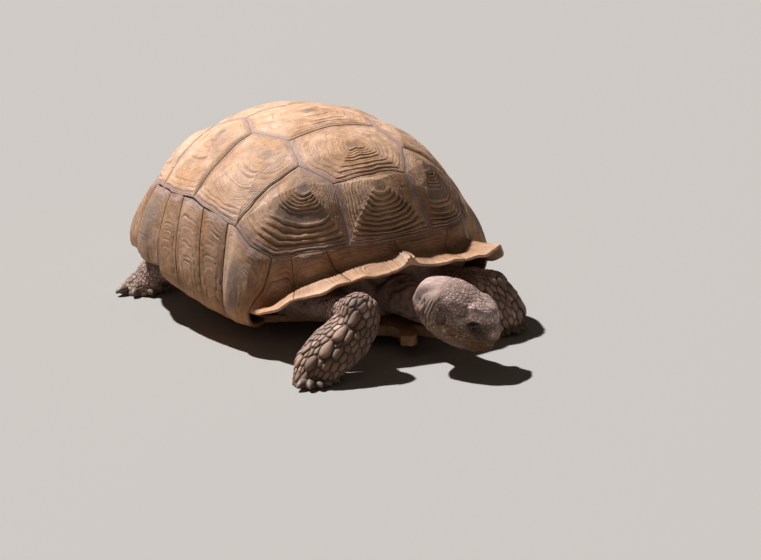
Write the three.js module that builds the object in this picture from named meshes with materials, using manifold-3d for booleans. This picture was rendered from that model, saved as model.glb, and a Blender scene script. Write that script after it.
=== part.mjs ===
// Adult male sulcata tortoise in mid-stride with its head held low.
// Millimetres, +Z up, head towards -Y, the animal's own left towards +X, feet on z = 0.
import * as THREE from "three";
import { mergeVertices } from "three/addons/utils/BufferGeometryUtils.js";
import Module from "manifold-3d";

const wasm = await Module();
wasm.setup();

// ---------------------------------------------------------------- driving dimensions

const seamGap = 0.35; // clear space between neighbouring pieces
const standAt = [2.5, 91.4]; // moves the middle of the whole animal's outline to the origin

const shell = {
  halfWidth: 280,
  frontLength: 362, // from the dome's middle to its front rim
  backLength: 338,
  middle: 12, // the dome's middle, behind the middle of the shell
  rimHeight: 81, // widest level of the flanks above the floor
  domeHeight: 255, // top of the dome above that level
  squareness: 2.18, // exponent of the plan outline, where 2 is an ellipse
  steepness: 1.1, // exponent of the dome's height
  plate: 10, // thickness of a scute with the bone under it
  lip: 6, // thickness at a free rim
  flareStart: 0.7, // share of the way from top to rim where the margin starts to flare
  neckArch: 66, // how far the rim rises over the neck
  cornerLift: 38, // how far the flared front corners rise
  cornerSkew: 12, // the left corner stands this much higher, the right one lower
  cornerFlare: 0.105, // how far the front corners stand out, as a share of the plan
  frontPull: 0.08, // how far the lower front wall stands back behind the lip, as a share of the plan
  pullEnd: 58, // angle from the front where the wall no longer stands back
  pullStart: 0.38, // share of the way from top to rim where it starts to stand back
  rearLift: 16,
  rearFlare: 0.03,
  bridgeTuck: 0.25, // how far the bridge runs in under the flank, as a share of the plan
  bellyHeight: 26, // underside of the bridge above the floor, at its front
  bellyRise: 24, // how much higher the underside is at the back of the bridge
};

const plastron = {
  height: 27, // underside above the floor
  thickness: 12,
  front: -352,
  back: 282,
  bridgeHalfWidth: 204,
  frontHalfWidth: 100,
  backHalfWidth: 92,
  gularReach: 52, // how far each prong of the gular fork runs on
  gularSpread: 34, // each prong's distance from the midline
  gularDrop: 6, // how much deeper the gular pair is than the rest
};

const head = {
  centre: [14, -485, 83],
  yawLeft: 40,
  pitchDown: 24,
  mouthGap: 0.6,
  crownSquareness: 2.9, // exponents of the section above and below, where 2 is an ellipse
  jawSquareness: 2.2,
  eyeRadius: 8.5,
  eyeAt: [26, 31.5, 11], // forward, sideways and up from the head's centre
};

// The neck's line runs on into the head; its half sizes are across and upright.
const neck = {
  path: [[0, -238, 88], [4, -318, 80], [13, -375, 73], [17, -425, 73]],
  halves: [[52, 38], [41, 33], [33, 30], [33, 32], [45, 45]],
};
const tail = {
  path: [[0, 205, 102], [0, 262, 96], [4, 318, 70], [10, 352, 44]],
  radii: [27, 27, 19, 7],
};
const claw = { length: 25, radius: 8, height: 11, fan: 50 };

// Each limb runs from its root in the trunk over its joint to the foot on the floor.
const limbs = {
  fore_right: { root: [-104, -232, 68], joint: [-134, -400, 96], foot: [-235, -423, 0], turn: -8 },
  fore_left: {
    root: [108, -228, 76], joint: [142, -336, 84], foot: [164, -356, 0], turn: 12,
    below: [[46, 28], [54, 36], [62, 44], [64, 46], [37, 35]], kneeRise: 16,
  },
  hind_right: { root: [-104, 140, 92], joint: [-160, 182, 80], foot: [-224, 220, 0], turn: -24 },
  hind_left: { root: [104, 128, 92], joint: [160, 156, 80], foot: [208, 150, 0], turn: 18 },
};
// Half sizes across and along each limb, from the shoulder or hip to the sole.
const foreLeg = {
  above: [[43, 24], [45, 26], [45, 36]], below: [[34, 30], [42, 40], [62, 44], [64, 46], [37, 35]],
  kneeRise: 29, claws: 5,
};
const hindLeg = {
  above: [[50, 44], [48, 40], [44, 38]], below: [[34, 34], [43, 43], [44, 45], [42, 45], [44, 47]],
  kneeRise: 12, claws: 4,
};

const trunk = {
  inset: 14, // below the shell's outside, which leaves the plates room
  socket: 0.87, // where the skin leaves the free margins, as a share of the way down
  floorHalfWidth: 196,
  floorFront: -292,
  floorBack: 258,
};

// Sections of the head from its back to the snout: forward, half width, then reach up and down.
const headSections = [
  [-84, 31, 31, 8], [-70, 43, 41, 26], [-50, 49, 49, 41], [-28, 52, 54, 47], [-6, 51, 54, 50],
  [14, 47, 50, 49], [32, 39, 44, 47], [46, 31, 38, 44], [57, 21, 22, 38], [65, 12, 6, 27],
];

const colour = {
  scute: 0xa07d57, margin: 0xb08858, plastron: 0xb58a55, skin: 0x9a8680, scaled: 0xa8968c, eye: 0x1a1410,
};

// ---------------------------------------------------------------- small helpers

const radians = THREE.MathUtils.degToRad;
const lerp = THREE.MathUtils.lerp;
const lobe = (x, centre, width) => Math.exp(-(((x - centre) / width) ** 2));
const smooth = (x) => THREE.MathUtils.smoothstep(x, 0, 1);
const around = (degrees, share) => [share * Math.sin(radians(degrees)), -share * Math.cos(radians(degrees))];
const vector = (list) => new THREE.Vector3(...list);

function closedGeometry(points, faces) {
  const geometry = new THREE.BufferGeometry();
  geometry.setAttribute("position", new THREE.Float32BufferAttribute(points.flatMap((p) => [p.x, p.y, p.z]), 3));
  geometry.setIndex(faces.flat());
  return geometry;
}

function solid(geometry) {
  const bare = new THREE.BufferGeometry();
  bare.setAttribute("position", geometry.getAttribute("position"));
  bare.setIndex(geometry.getIndex());
  const merged = mergeVertices(bare, 1e-4);
  const mesh = new wasm.Mesh({
    numProp: 3,
    vertProperties: new Float32Array(merged.getAttribute("position").array),
    triVerts: new Uint32Array(merged.getIndex().array),
  });
  return new wasm.Manifold(mesh);
}

// The largest lump of a cut solid, without the slivers that a cut leaves.
function geometryOf(manifold) {
  const lumps = manifold.decompose();
  const mesh = lumps.reduce((best, lump) => (lump.volume() > best.volume() ? lump : best)).getMesh();
  const geometry = new THREE.BufferGeometry();
  geometry.setAttribute("position", new THREE.BufferAttribute(new Float32Array(mesh.vertProperties), 3));
  geometry.setIndex(new THREE.BufferAttribute(new Uint32Array(mesh.triVerts), 1));
  return geometry;
}

const tortoise = new THREE.Group();
tortoise.position.set(standAt[0], standAt[1], 0);

function addPiece(name, geometry, color, roughness = 0.7) {
  geometry.computeVertexNormals();
  const material = new THREE.MeshStandardMaterial({ color, roughness, metalness: 0 });
  const mesh = new THREE.Mesh(geometry, material);
  mesh.name = name;
  tortoise.add(mesh);
  return mesh;
}

// ---------------------------------------------------------------- the shell's surface

// A place on the shell is (u, v): its direction from the dome's top, seen from above, and as its
// length the share of the way down, 0 at the top, 1 at the rim and 1.5 under the bridge.
function frontAngle(u, v) {
  return THREE.MathUtils.radToDeg(Math.atan2(Math.abs(u), -v));
}

function rimLift(u, v) {
  const angle = frontAngle(u, v);
  const corner = shell.cornerLift + Math.sign(u) * shell.cornerSkew;
  const front = shell.neckArch * lobe(angle, 0, 24) + corner * lobe(angle, 31, 13);
  return front + shell.rearLift * smooth((angle - 65) / 25);
}

function shellPoint(u, v, isFlared = true) {
  const share = Math.hypot(u, v);
  const [across, along] = share > 1e-6 ? [u / share, v / share] : [1, 0];
  const angle = frontAngle(u, v);
  const power = shell.squareness;
  const square = (Math.abs(across) ** power + Math.abs(along) ** power) ** (-1 / power);
  const slope = (Math.min(share, 1) * Math.PI) / 2;
  const flare = isFlared ? smooth((share - shell.flareStart) / (1 - shell.flareStart)) : 0;
  const flareOut = shell.cornerFlare * lobe(angle, 40, 18) + shell.rearFlare * lobe(angle, 145, 30);
  const tuck = (Math.max(share - 1, 0) / 0.5) * (Math.PI / 2);
  const nearFront = smooth((shell.pullEnd - angle) / 22);
  const lowDown = smooth((share - shell.pullStart) / 0.3) * smooth((1 - share) / 0.2);
  const pulled = Math.sin(slope) * (1 - shell.frontPull * nearFront * lowDown);
  const spread = (pulled + flareOut * flare ** 1.5) * (1 - shell.bridgeTuck * (1 - Math.cos(tuck)));
  const length = v < 0 ? shell.frontLength : shell.backLength;
  const x = shell.halfWidth * square * across * spread;
  const y = shell.middle + length * square * along * spread;
  const belly = shell.bellyHeight + shell.bellyRise * smooth((angle - 55) / 40);
  const rim = shell.rimHeight + rimLift(u, v);
  const dome = shell.rimHeight + shell.domeHeight * Math.cos(slope) ** shell.steepness + rimLift(u, v) * flare;
  const z = share <= 1 ? dome : rim - (rim - belly) * Math.sin(tuck);
  return new THREE.Vector3(x, y, z);
}

function shellNormal(u, v, isFlared) {
  const share = Math.hypot(u, v);
  const [across, along] = share > 1e-6 ? [u / share, v / share] : [1, 0];
  const step = 0.004;
  const here = shellPoint(u, v, isFlared);
  const back = shellPoint(u - across * step, v - along * step, isFlared);
  const right = shellPoint(u - along * step, v + across * step, isFlared);
  const left = shellPoint(u + along * step, v - across * step, isFlared);
  return here.sub(back).cross(right.sub(left)).normalize();
}

function shellInside(u, v, depth, isFlared = true) {
  return shellPoint(u, v, isFlared).addScaledVector(shellNormal(u, v, isFlared), -depth);
}

// ---------------------------------------------------------------- how the scutes meet

// Corners of the scutes on the left side; the right side mirrors them.
const corner = {
  v1v2: [0.172, -0.444],
  v2c1c2: [0.239, -0.303],
  v2v3: [0.189, -0.176],
  v3c2c3: [0.256, -0.024],
  v3v4: [0.182, 0.115],
  v4c3c4: [0.243, 0.26],
  v4v5: [0.142, 0.4],
};

// The line between the upper scutes and the marginals, as share of the way down by angle from the front.
const marginLine = [
  [0, 0.765], [10, 0.755], [19.3, 0.75], [28.5, 0.77], [40.6, 0.79], [47, 0.786], [55, 0.74], [61.6, 0.672],
  [64.7, 0.665], [71, 0.645], [78, 0.63], [86, 0.615], [91.5, 0.62], [102, 0.63], [111, 0.637], [121, 0.66],
  [134, 0.69], [145, 0.7], [152, 0.7], [167, 0.76], [180, 0.79],
];
// Marginal seams: angle where each meets the upper scutes, and where it meets the rim.
const marginSeams = [
  [0, 0], [28.5, 22], [40.6, 39.5], [47, 53.5], [64.7, 62.5], [78, 71], [91.5, 82], [102, 93],
  [121, 112], [134, 130], [145, 147], [167, 165], [180, 180],
];
const onMargin = (angle) => {
  const row = marginLine.findIndex((entry) => entry[0] >= angle);
  if (row <= 0) return around(angle, marginLine[0][1]);
  const [before, after] = [marginLine[row - 1], marginLine[row]];
  const part = (angle - before[0]) / (after[0] - before[0]);
  return around(angle, lerp(before[1], after[1], part));
};
const marginBetween = (from, to) => {
  const inside = marginLine.map((entry) => entry[0]).filter((a) => a > Math.min(from, to) && a < Math.max(from, to));
  if (from > to) inside.reverse();
  return [from, ...inside, to].map(onMargin);
};

// Where the lower ends of the bridge marginals lie, as shares of the way down, by rim angle.
const bridgeEnds = { 53.5: 1.5, 62.5: 1.5, 71: 1.46, 82: 1.34, 93: 1.12 };

function dividedEdge(start, end, longest = 0.082) {
  const parts = Math.max(1, Math.round(Math.hypot(end[0] - start[0], end[1] - start[1]) / longest));
  return Array.from({ length: parts }, (_, k) => [
    lerp(start[0], end[0], k / parts),
    lerp(start[1], end[1], k / parts),
  ]);
}

function divided(outline) {
  return outline.flatMap((start, i) => dividedEdge(start, outline[(i + 1) % outline.length]));
}

function towards(point, target, distance) {
  const way = target.clone().sub(point);
  return point.clone().addScaledVector(way, distance / way.length());
}

// The wall between two outline points; neighbours split it along the same diagonal.
function wall(outerA, innerA, outerB, innerB, placeA, placeB) {
  const order = placeA[1] - placeB[1] || placeA[0] - placeB[0];
  if (order < 0) return [[outerA, innerA, innerB], [outerA, innerB, outerB]];
  return [[outerA, innerA, outerB], [innerA, innerB, outerB]];
}

// A scute of the dome: rings of points between its outline and the low boss it grew from.
function domeScute(outline, boss, bossHeight) {
  const side = Math.sign(signedArea(outline));
  const border = divided(side > 0 ? outline : [...outline].reverse());
  const rings = [1, 0.66, 0.33];
  const count = border.length;
  const points = [];
  const place = (t, i, depth) => {
    const [u, v] = [0, 1].map((k) => lerp(boss[k], border[i][k], t));
    const rise = depth > 0 ? 0 : bossHeight * (1 - t) ** 1.3;
    const lifted = shellInside(u, v, depth - rise);
    return t === 1 ? towards(lifted, shellInside(...boss, depth), seamGap / 2) : lifted;
  };
  const faces = [];
  const bands = [rings, [1, 0.5]];
  bands.forEach((shares, layer) => {
    const base = points.length;
    const depth = layer === 0 ? 0 : shell.plate;
    shares.forEach((t) => border.forEach((_, i) => points.push(place(t, i, depth))));
    points.push(shellInside(...boss, depth - (layer === 0 ? bossHeight : 0)));
    const last = base + shares.length * count;
    for (let i = 0; i < count; i += 1) {
      const next = (i + 1) % count;
      const turn = (a, b, c) => faces.push(layer === 0 ? [a, b, c] : [a, c, b]);
      for (let r = 0; r + 1 < shares.length; r += 1) {
        const [outer, inner] = [base + r * count, base + (r + 1) * count];
        turn(outer + i, outer + next, inner + next);
        turn(outer + i, inner + next, inner + i);
      }
      const innermost = base + (shares.length - 1) * count;
      turn(innermost + i, innermost + next, last);
    }
  });
  const under = rings.length * count + 1;
  for (let i = 0; i < count; i += 1) {
    const next = (i + 1) % count;
    faces.push(...wall(i, under + i, next, under + next, border[i], border[next]));
  }
  return closedGeometry(points, faces);
}

function signedArea(outline) {
  return outline.reduce((sum, p, i) => {
    const q = outline[(i + 1) % outline.length];
    return sum + p[0] * q[1] - p[1] * q[0];
  }, 0) / 2;
}

// A marginal: a grid from its top seam to the rim or on under the bridge, with a thin free lip.
function marginPlate(side, first, second) {
  const corners = marginBetween(marginSeams[first][0], marginSeams[second][0]);
  const tops = corners.slice(0, -1).flatMap((start, i) => dividedEdge(start, corners[i + 1]));
  tops.push(corners.at(-1));
  const [fromRim, toRim] = [marginSeams[first][1], marginSeams[second][1]];
  const ends = [bridgeEnds[fromRim] ?? 1, bridgeEnds[toRim] ?? 1];
  const isBridge = ends[0] > 1 && ends[1] > 1;
  const flank = [0, 0.35, 0.7, 1]; // rows from the top seam to the rim
  const under = isBridge ? [0.25, 0.5, 0.75, 1] : []; // rows from the rim on under the bridge
  const thickness = [
    ...flank.map((t) => lerp(shell.plate, shell.lip, t)),
    ...under.map((t) => lerp(shell.lip, shell.plate, t)),
  ];
  const columns = tops.map((top, i) => {
    const part = i / (tops.length - 1);
    const angle = lerp(fromRim, toRim, part);
    const rim = around(angle, 1);
    const down = flank.map((t) => [lerp(top[0], rim[0], t), lerp(top[1], rim[1], t)]);
    const back = under.map((t) => around(angle, lerp(1, lerp(ends[0], ends[1], part), t)));
    return [...down, ...back].map(([u, v]) => [u * side, v]);
  });
  const [wide, tall] = [columns.length, thickness.length];
  const points = [];
  for (const layer of [0, 1]) {
    columns.forEach((column, c) => column.forEach(([u, v], r) => {
      const place = shellInside(u, v, layer * thickness[r]);
      const beside = c === 0 ? columns[1][r] : c === wide - 1 ? columns[wide - 2][r] : null;
      const across = beside ? towards(place, shellInside(...beside, layer * thickness[r]), seamGap / 2) : place;
      points.push(r === 0 ? towards(across, shellInside(...column[1], layer * thickness[1]), seamGap / 2) : across);
    }));
  }
  const at = (c, r, layer) => layer * wide * tall + c * tall + r;
  const faces = [];
  const edge = (c, r, c2, r2) => {
    faces.push(...wall(at(c, r, 0), at(c, r, 1), at(c2, r2, 0), at(c2, r2, 1), columns[c][r], columns[c2][r2]));
  };
  for (let c = 0; c + 1 < wide; c += 1) {
    for (let r = 0; r + 1 < tall; r += 1) {
      const [a, b, d, e] = [at(c, r, 0), at(c, r + 1, 0), at(c + 1, r + 1, 0), at(c + 1, r, 0)];
      const below = wide * tall;
      faces.push([a, b, d], [a, d, e], [a + below, d + below, b + below], [a + below, e + below, d + below]);
    }
    edge(c + 1, 0, c, 0);
    edge(c, tall - 1, c + 1, tall - 1);
  }
  for (let r = 0; r + 1 < tall; r += 1) {
    edge(0, r, 0, r + 1);
    edge(wide - 1, r + 1, wide - 1, r);
  }
  if (side < 0) faces.forEach((face) => face.reverse());
  return closedGeometry(points, faces);
}

// ---------------------------------------------------------------- carapace

const mirrored = (point) => [-point[0], point[1]];

function addCarapace() {
  const half = {
    vertebral_1: [...marginBetween(0, 19.3), corner.v1v2],
    vertebral_2: [corner.v1v2, corner.v2c1c2, corner.v2v3],
    vertebral_3: [corner.v2v3, corner.v3c2c3, corner.v3v4],
    vertebral_4: [corner.v3v4, corner.v4c3c4, corner.v4v5],
    vertebral_5: [corner.v4v5, ...marginBetween(152, 180)],
  };
  const bosses = {
    vertebral_1: [0, -0.483], vertebral_2: [0, -0.3], vertebral_3: [0, -0.04],
    vertebral_4: [0, 0.235], vertebral_5: [0, 0.52],
  };
  for (const [name, points] of Object.entries(half)) {
    const otherSide = points.filter((p) => Math.abs(p[0]) > 1e-9).map(mirrored).reverse();
    addPiece(name, domeScute([...points, ...otherSide], bosses[name], 5), colour.scute);
  }
  const costals = [
    { top: [corner.v2c1c2, corner.v1v2], from: 19.3, to: 61.6, boss: [0.272, -0.382] },
    { top: [corner.v3c2c3, corner.v2v3, corner.v2c1c2], from: 61.6, to: 86, boss: [0.3, -0.19] },
    { top: [corner.v4c3c4, corner.v3v4, corner.v3c2c3], from: 86, to: 111, boss: [0.3, 0.09] },
    { top: [corner.v4v5, corner.v4c3c4], from: 111, to: 152, boss: [0.3, 0.36] },
  ];
  costals.forEach(({ top, from, to, boss }, i) => {
    const outline = [...marginBetween(from, to), ...top];
    addPiece(`costal_left_${i + 1}`, domeScute(outline, boss, 5), colour.scute);
    addPiece(`costal_right_${i + 1}`, domeScute(outline.map(mirrored), mirrored(boss), 5), colour.scute);
  });
  for (let i = 0; i < 11; i += 1) {
    addPiece(`marginal_left_${i + 1}`, marginPlate(1, i, i + 1), colour.margin);
    addPiece(`marginal_right_${i + 1}`, marginPlate(-1, i, i + 1), colour.margin);
  }
  addPiece("supracaudal", supracaudalPlate(), colour.margin);
}

// The two halves of the plate over the tail are one scute.
function supracaudalPlate() {
  const halves = [1, -1].map((side) => {
    const plate = marginPlate(side, 11, 12);
    const place = plate.getAttribute("position");
    for (let i = 0; i < place.count; i += 1) {
      if (Math.abs(place.getX(i)) < 1) place.setX(i, -side * 0.05);
    }
    return solid(plate);
  });
  return geometryOf(halves[0].add(halves[1]));
}

// ---------------------------------------------------------------- trunk

function bridgeWindow(angle) {
  return smooth((angle - 47) / 9) * smooth((101 - angle) / 12);
}

function trunkGeometry() {
  const directions = 24;
  const rows = [0.3, 0.6, 0.84, 1];
  const floorHeight = plastron.height + plastron.thickness + 0.4;
  const points = [shellInside(0, 0, trunk.inset)];
  for (let i = 0; i < directions; i += 1) {
    const angle = (360 * i) / directions;
    const fromFront = angle > 180 ? 360 - angle : angle;
    const open = lerp(trunk.socket, 1.44, bridgeWindow(fromFront));
    for (const row of rows) {
      const inside = shellInside(...around(angle, row * open), trunk.inset, false);
      inside.z = Math.max(inside.z, floorHeight + 3);
      points.push(inside);
    }
    const [across, along] = around(angle, 1);
    const length = along < 0 ? -trunk.floorFront : trunk.floorBack;
    const floor = new THREE.Vector3(trunk.floorHalfWidth * across, length * along, floorHeight);
    const edge = points.at(-1);
    const waist = edge.clone().lerp(floor, 0.5);
    waist.z = lerp(edge.z, floorHeight, 0.5);
    points.push(waist, floor);
  }
  points.push(new THREE.Vector3(0, 0, floorHeight));
  return ringsAroundTop(points, directions, rows.length + 2);
}

// Joins spokes of points, each running from the first point down to the last one, into a closed skin.
function ringsAroundTop(points, directions, perSpoke) {
  const at = (i, r) => 1 + (i % directions) * perSpoke + r;
  const bottom = points.length - 1;
  const faces = [];
  for (let i = 0; i < directions; i += 1) {
    faces.push([0, at(i, 0), at(i + 1, 0)]);
    for (let r = 0; r + 1 < perSpoke; r += 1) {
      faces.push([at(i, r), at(i, r + 1), at(i + 1, r + 1)], [at(i, r), at(i + 1, r + 1), at(i + 1, r)]);
    }
    faces.push([at(i, perSpoke - 1), bottom, at(i + 1, perSpoke - 1)]);
  }
  return closedGeometry(points, faces);
}

// ---------------------------------------------------------------- plastron

// Half width of the plastron along its length; the forelegs and hind legs cut it in.
function plastronHalfWidth(y) {
  const t = (y - plastron.front) / (plastron.back - plastron.front);
  const front = plastron.frontHalfWidth * smooth(t / 0.16) ** 0.45;
  const widening = smooth((t - 0.2) / 0.14) * smooth((0.78 - t) / 0.12);
  const bridge = (plastron.bridgeHalfWidth - plastron.frontHalfWidth) * widening;
  const back = plastron.backHalfWidth * smooth((1.04 - t) / 0.2) ** 0.5;
  return Math.min(front, back) + bridge;
}

// Seams between the pairs of plates, from front to back.
const plastronSeams = [plastron.front, -268, -170, -110, 92, 178, plastron.back];
const plastronNames = ["gular", "humeral", "pectoral", "abdominal", "femoral", "anal"];

function plastronPlate(from, to) {
  const steps = Math.max(4, Math.ceil((to - from) / 34));
  const rows = Array.from({ length: steps + 1 }, (_, i) => lerp(from + seamGap / 2, to - seamGap / 2, i / steps));
  const isGular = from === plastron.front;
  const isAnal = to === plastron.back;
  const outline = rows.map((y) => [Math.max(plastronHalfWidth(y), 30), y]);
  const right = outline.map(([x, y]) => [-x, y]).reverse();
  const tipY = plastron.front - plastron.gularReach;
  const { gularSpread } = plastron;
  const prongs = [[-gularSpread - 16, tipY + 14], [-gularSpread, tipY], [-gularSpread + 14, tipY + 10],
    [0, plastron.front + 4], [gularSpread - 14, tipY + 10], [gularSpread, tipY], [gularSpread + 16, tipY + 14]];
  const notch = isAnal ? [[0, to - 34]] : [];
  const shape = new THREE.Shape();
  const loop = [...outline, ...notch, ...right, ...(isGular ? prongs : [])];
  loop.forEach(([x, y], i) => (i === 0 ? shape.moveTo(x, y) : shape.lineTo(x, y)));
  const drop = isGular ? plastron.gularDrop : 0;
  const geometry = new THREE.ExtrudeGeometry(shape, { depth: plastron.thickness + drop, bevelEnabled: false });
  geometry.translate(0, 0, plastron.height - drop);
  return geometry;
}

// The bridge marginals, moved a seam's width towards the midline, trim the plates that meet them.
function bridgeRoom() {
  const rooms = [1, -1].flatMap((side) => [3, 4, 5, 6].map((i) => {
    const plate = solid(marginPlate(side, i, i + 1));
    return plate.add(plate.translate([-side * seamGap, 0, 0])).add(plate.translate([0, 0, seamGap]));
  }));
  return rooms.reduce((joined, room) => joined.add(room));
}

function addPlastron() {
  const room = bridgeRoom();
  plastronNames.forEach((name, i) => {
    const plate = solid(plastronPlate(plastronSeams[i], plastronSeams[i + 1])).subtract(room);
    addPiece(`plastron_${name}`, geometryOf(plate), colour.plastron);
  });
}

// ---------------------------------------------------------------- limbs, neck and tail

const sectionSides = 14;

// Joins rings of points, first to last, into a closed skin with a cap point at each end.
function ringsAlong(rings, firstCap, lastCap) {
  const points = [...rings.flat(), firstCap, lastCap];
  const [first, last] = [points.length - 2, points.length - 1];
  const sides = rings[0].length;
  const faces = [];
  for (let i = 0; i < sides; i += 1) {
    const next = (i + 1) % sides;
    for (let k = 0; k + 1 < rings.length; k += 1) {
      const [a, b] = [k * sides, (k + 1) * sides];
      faces.push([a + i, b + i, b + next], [a + i, b + next, a + next]);
    }
    const end = (rings.length - 1) * sides;
    faces.push([first, i, next], [last, end + next, end + i]);
  }
  return closedGeometry(points, faces);
}

function ellipse(centre, across, along, wide, deep, sides = sectionSides) {
  return Array.from({ length: sides }, (_, i) => {
    const angle = (2 * Math.PI * i) / sides;
    const spot = centre.clone().addScaledVector(across, wide * Math.cos(angle));
    return spot.addScaledVector(along, deep * Math.sin(angle));
  });
}

// A rounded length of flesh through the given places. Its half sizes, at even steps, are across it and
// towards the given side; grow leaves a neighbour room for it. isStanding keeps every section level and
// ends it in a flat sole.
function flesh(places, halves, { grow = 0, steps = 6, isStanding = false, side = [0, 0, 1] } = {}) {
  const curve = new THREE.CatmullRomCurve3(places.map(vector));
  const rings = [];
  for (let k = 0; k <= steps; k += 1) {
    const place = (k / steps) * (halves.length - 1);
    const low = Math.min(Math.floor(place), halves.length - 2);
    const size = [0, 1].map((j) => lerp(halves[low][j], halves[low + 1][j], place - low) + grow);
    const tangent = isStanding ? new THREE.Vector3(0, 0, -1) : curve.getTangent(k / steps);
    const across = new THREE.Vector3().crossVectors(tangent, vector(side)).normalize();
    const along = new THREE.Vector3().crossVectors(across, tangent).normalize();
    const pinch = k === 0 || (k === steps && !isStanding) ? 0.62 : 1;
    const centre = curve.getPoint(k / steps);
    if (isStanding && k === steps) centre.z -= grow;
    rings.push(ellipse(centre, across, along, size[0] * pinch, size[1] * pinch));
  }
  const reach = 0.22 * halves[0][1] + 2 * grow;
  const firstWay = isStanding ? new THREE.Vector3(0, 0, -1) : curve.getTangent(0);
  const firstCap = curve.getPoint(0).addScaledVector(firstWay, -reach);
  const lastCap = curve.getPoint(1);
  if (isStanding) lastCap.z -= grow;
  else lastCap.addScaledVector(curve.getTangent(1), reach);
  return solid(ringsAlong(rings, firstCap, lastCap));
}

// A claw: a bent cone that points out and down from the front of a foot.
function clawSolid(root, direction) {
  const up = new THREE.Vector3(0, 0, 1);
  const across = new THREE.Vector3().crossVectors(direction, up).normalize();
  const rings = [0, 0.8].map((t) => {
    const centre = root.clone().addScaledVector(direction, claw.length * (t - 0.35));
    centre.z -= 5 * t * t;
    const radius = claw.radius * (1 - 0.6 * t);
    return ellipse(centre, across, up, radius, radius * 0.8, 6);
  });
  const back = root.clone().addScaledVector(direction, -claw.length * 0.35);
  const tip = root.clone().addScaledVector(direction, claw.length * 0.72);
  tip.z -= 5.6;
  return solid(ringsAlong(rings, back, tip));
}

function limbPieces({ root, joint, foot, turn }, size) {
  const kneeTop = [joint[0], joint[1], joint[2] + size.kneeRise];
  const between = (t) => [lerp(joint[0], foot[0], t), lerp(joint[1], foot[1], t), joint[2] * (1 - t)];
  const footPath = [kneeTop, joint, between(0.3), between(0.6), foot];
  const footHalves = size.below;
  const upperPath = [root, root.map((value, k) => lerp(value, joint[k], 0.5)), joint];
  const ahead = [Math.sin(radians(turn)), -Math.cos(radians(turn)), 0];
  const standing = { isStanding: true, side: ahead };
  let footSolid = flesh(footPath, footHalves, standing);
  for (let i = 0; i < size.claws; i += 1) {
    const fan = lerp(-claw.fan, claw.fan, i / (size.claws - 1)) + turn;
    const direction = vector([Math.sin(radians(fan)), -Math.cos(radians(fan)), 0]);
    const base = vector(foot).addScaledVector(direction, size.below.at(-1)[1] - 2);
    base.z = claw.height;
    footSolid = footSolid.add(clawSolid(base, direction));
  }
  return {
    foot: footSolid,
    footRoom: flesh(footPath, footHalves, { ...standing, grow: seamGap }),
    upper: flesh(upperPath, size.above, { steps: 4 }),
    upperRoom: flesh(upperPath, size.above, { steps: 4, grow: seamGap }),
  };
}

function neckPath() {
  const [x, y, z] = head.centre;
  return [...neck.path, [x, y + 14, z + 1]];
}

// ---------------------------------------------------------------- head

function headFrame() {
  const yaw = radians(head.yawLeft);
  const pitch = radians(head.pitchDown);
  const forward = vector([Math.sin(yaw) * Math.cos(pitch), -Math.cos(yaw) * Math.cos(pitch), -Math.sin(pitch)]);
  const left = vector([Math.cos(yaw), Math.sin(yaw), 0]);
  const up = new THREE.Vector3().crossVectors(forward, left);
  return { forward, left, up, centre: vector(head.centre) };
}

function inHead(ahead, leftwards, upwards) {
  const { forward, left, up, centre } = headFrame();
  const spot = centre.clone().addScaledVector(forward, ahead).addScaledVector(left, leftwards);
  return spot.addScaledVector(up, upwards);
}

function headSolid() {
  const sides = 14;
  const rings = headSections.map(([ahead, half, above, below]) =>
    Array.from({ length: sides }, (_, i) => {
      const angle = (-2 * Math.PI * i) / sides;
      const [c, s] = [Math.cos(angle), Math.sin(angle)];
      const power = 2 / (s > 0 ? head.crownSquareness : head.jawSquareness);
      const wide = half * Math.sign(c) * Math.abs(c) ** power;
      const tall = (s > 0 ? above : below) * Math.sign(s) * Math.abs(s) ** power;
      return inHead(ahead, wide, tall);
    }));
  const back = inHead(headSections[0][0] - 6, 0, 0);
  const snout = inHead(headSections.at(-1)[0] + 2, 0, -10);
  return solid(ringsAlong(rings, back, snout));
}

function jawRoom(grow) {
  const room = new THREE.BoxGeometry(140, 80 + 2 * grow, 60);
  const { forward, left, up, centre } = headFrame();
  const basis = new THREE.Matrix4().makeBasis(left, forward, up.clone());
  room.translate(0, 40 - 18, -30 - 17 + grow);
  room.rotateX(radians(-4));
  room.applyMatrix4(basis);
  room.translate(centre.x, centre.y, centre.z);
  const turned = basis.determinant() < 0;
  if (turned) room.setIndex(Array.from(room.getIndex().array).reverse());
  return solid(room);
}

function eyeSolid(side, grow = 0) {
  const eye = new THREE.SphereGeometry(head.eyeRadius + grow, 10, 6);
  const place = inHead(head.eyeAt[0], side * head.eyeAt[1], head.eyeAt[2]);
  eye.translate(place.x, place.y, place.z);
  return solid(eye);
}

// ---------------------------------------------------------------- the soft body, parted by thin cuts

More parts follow.
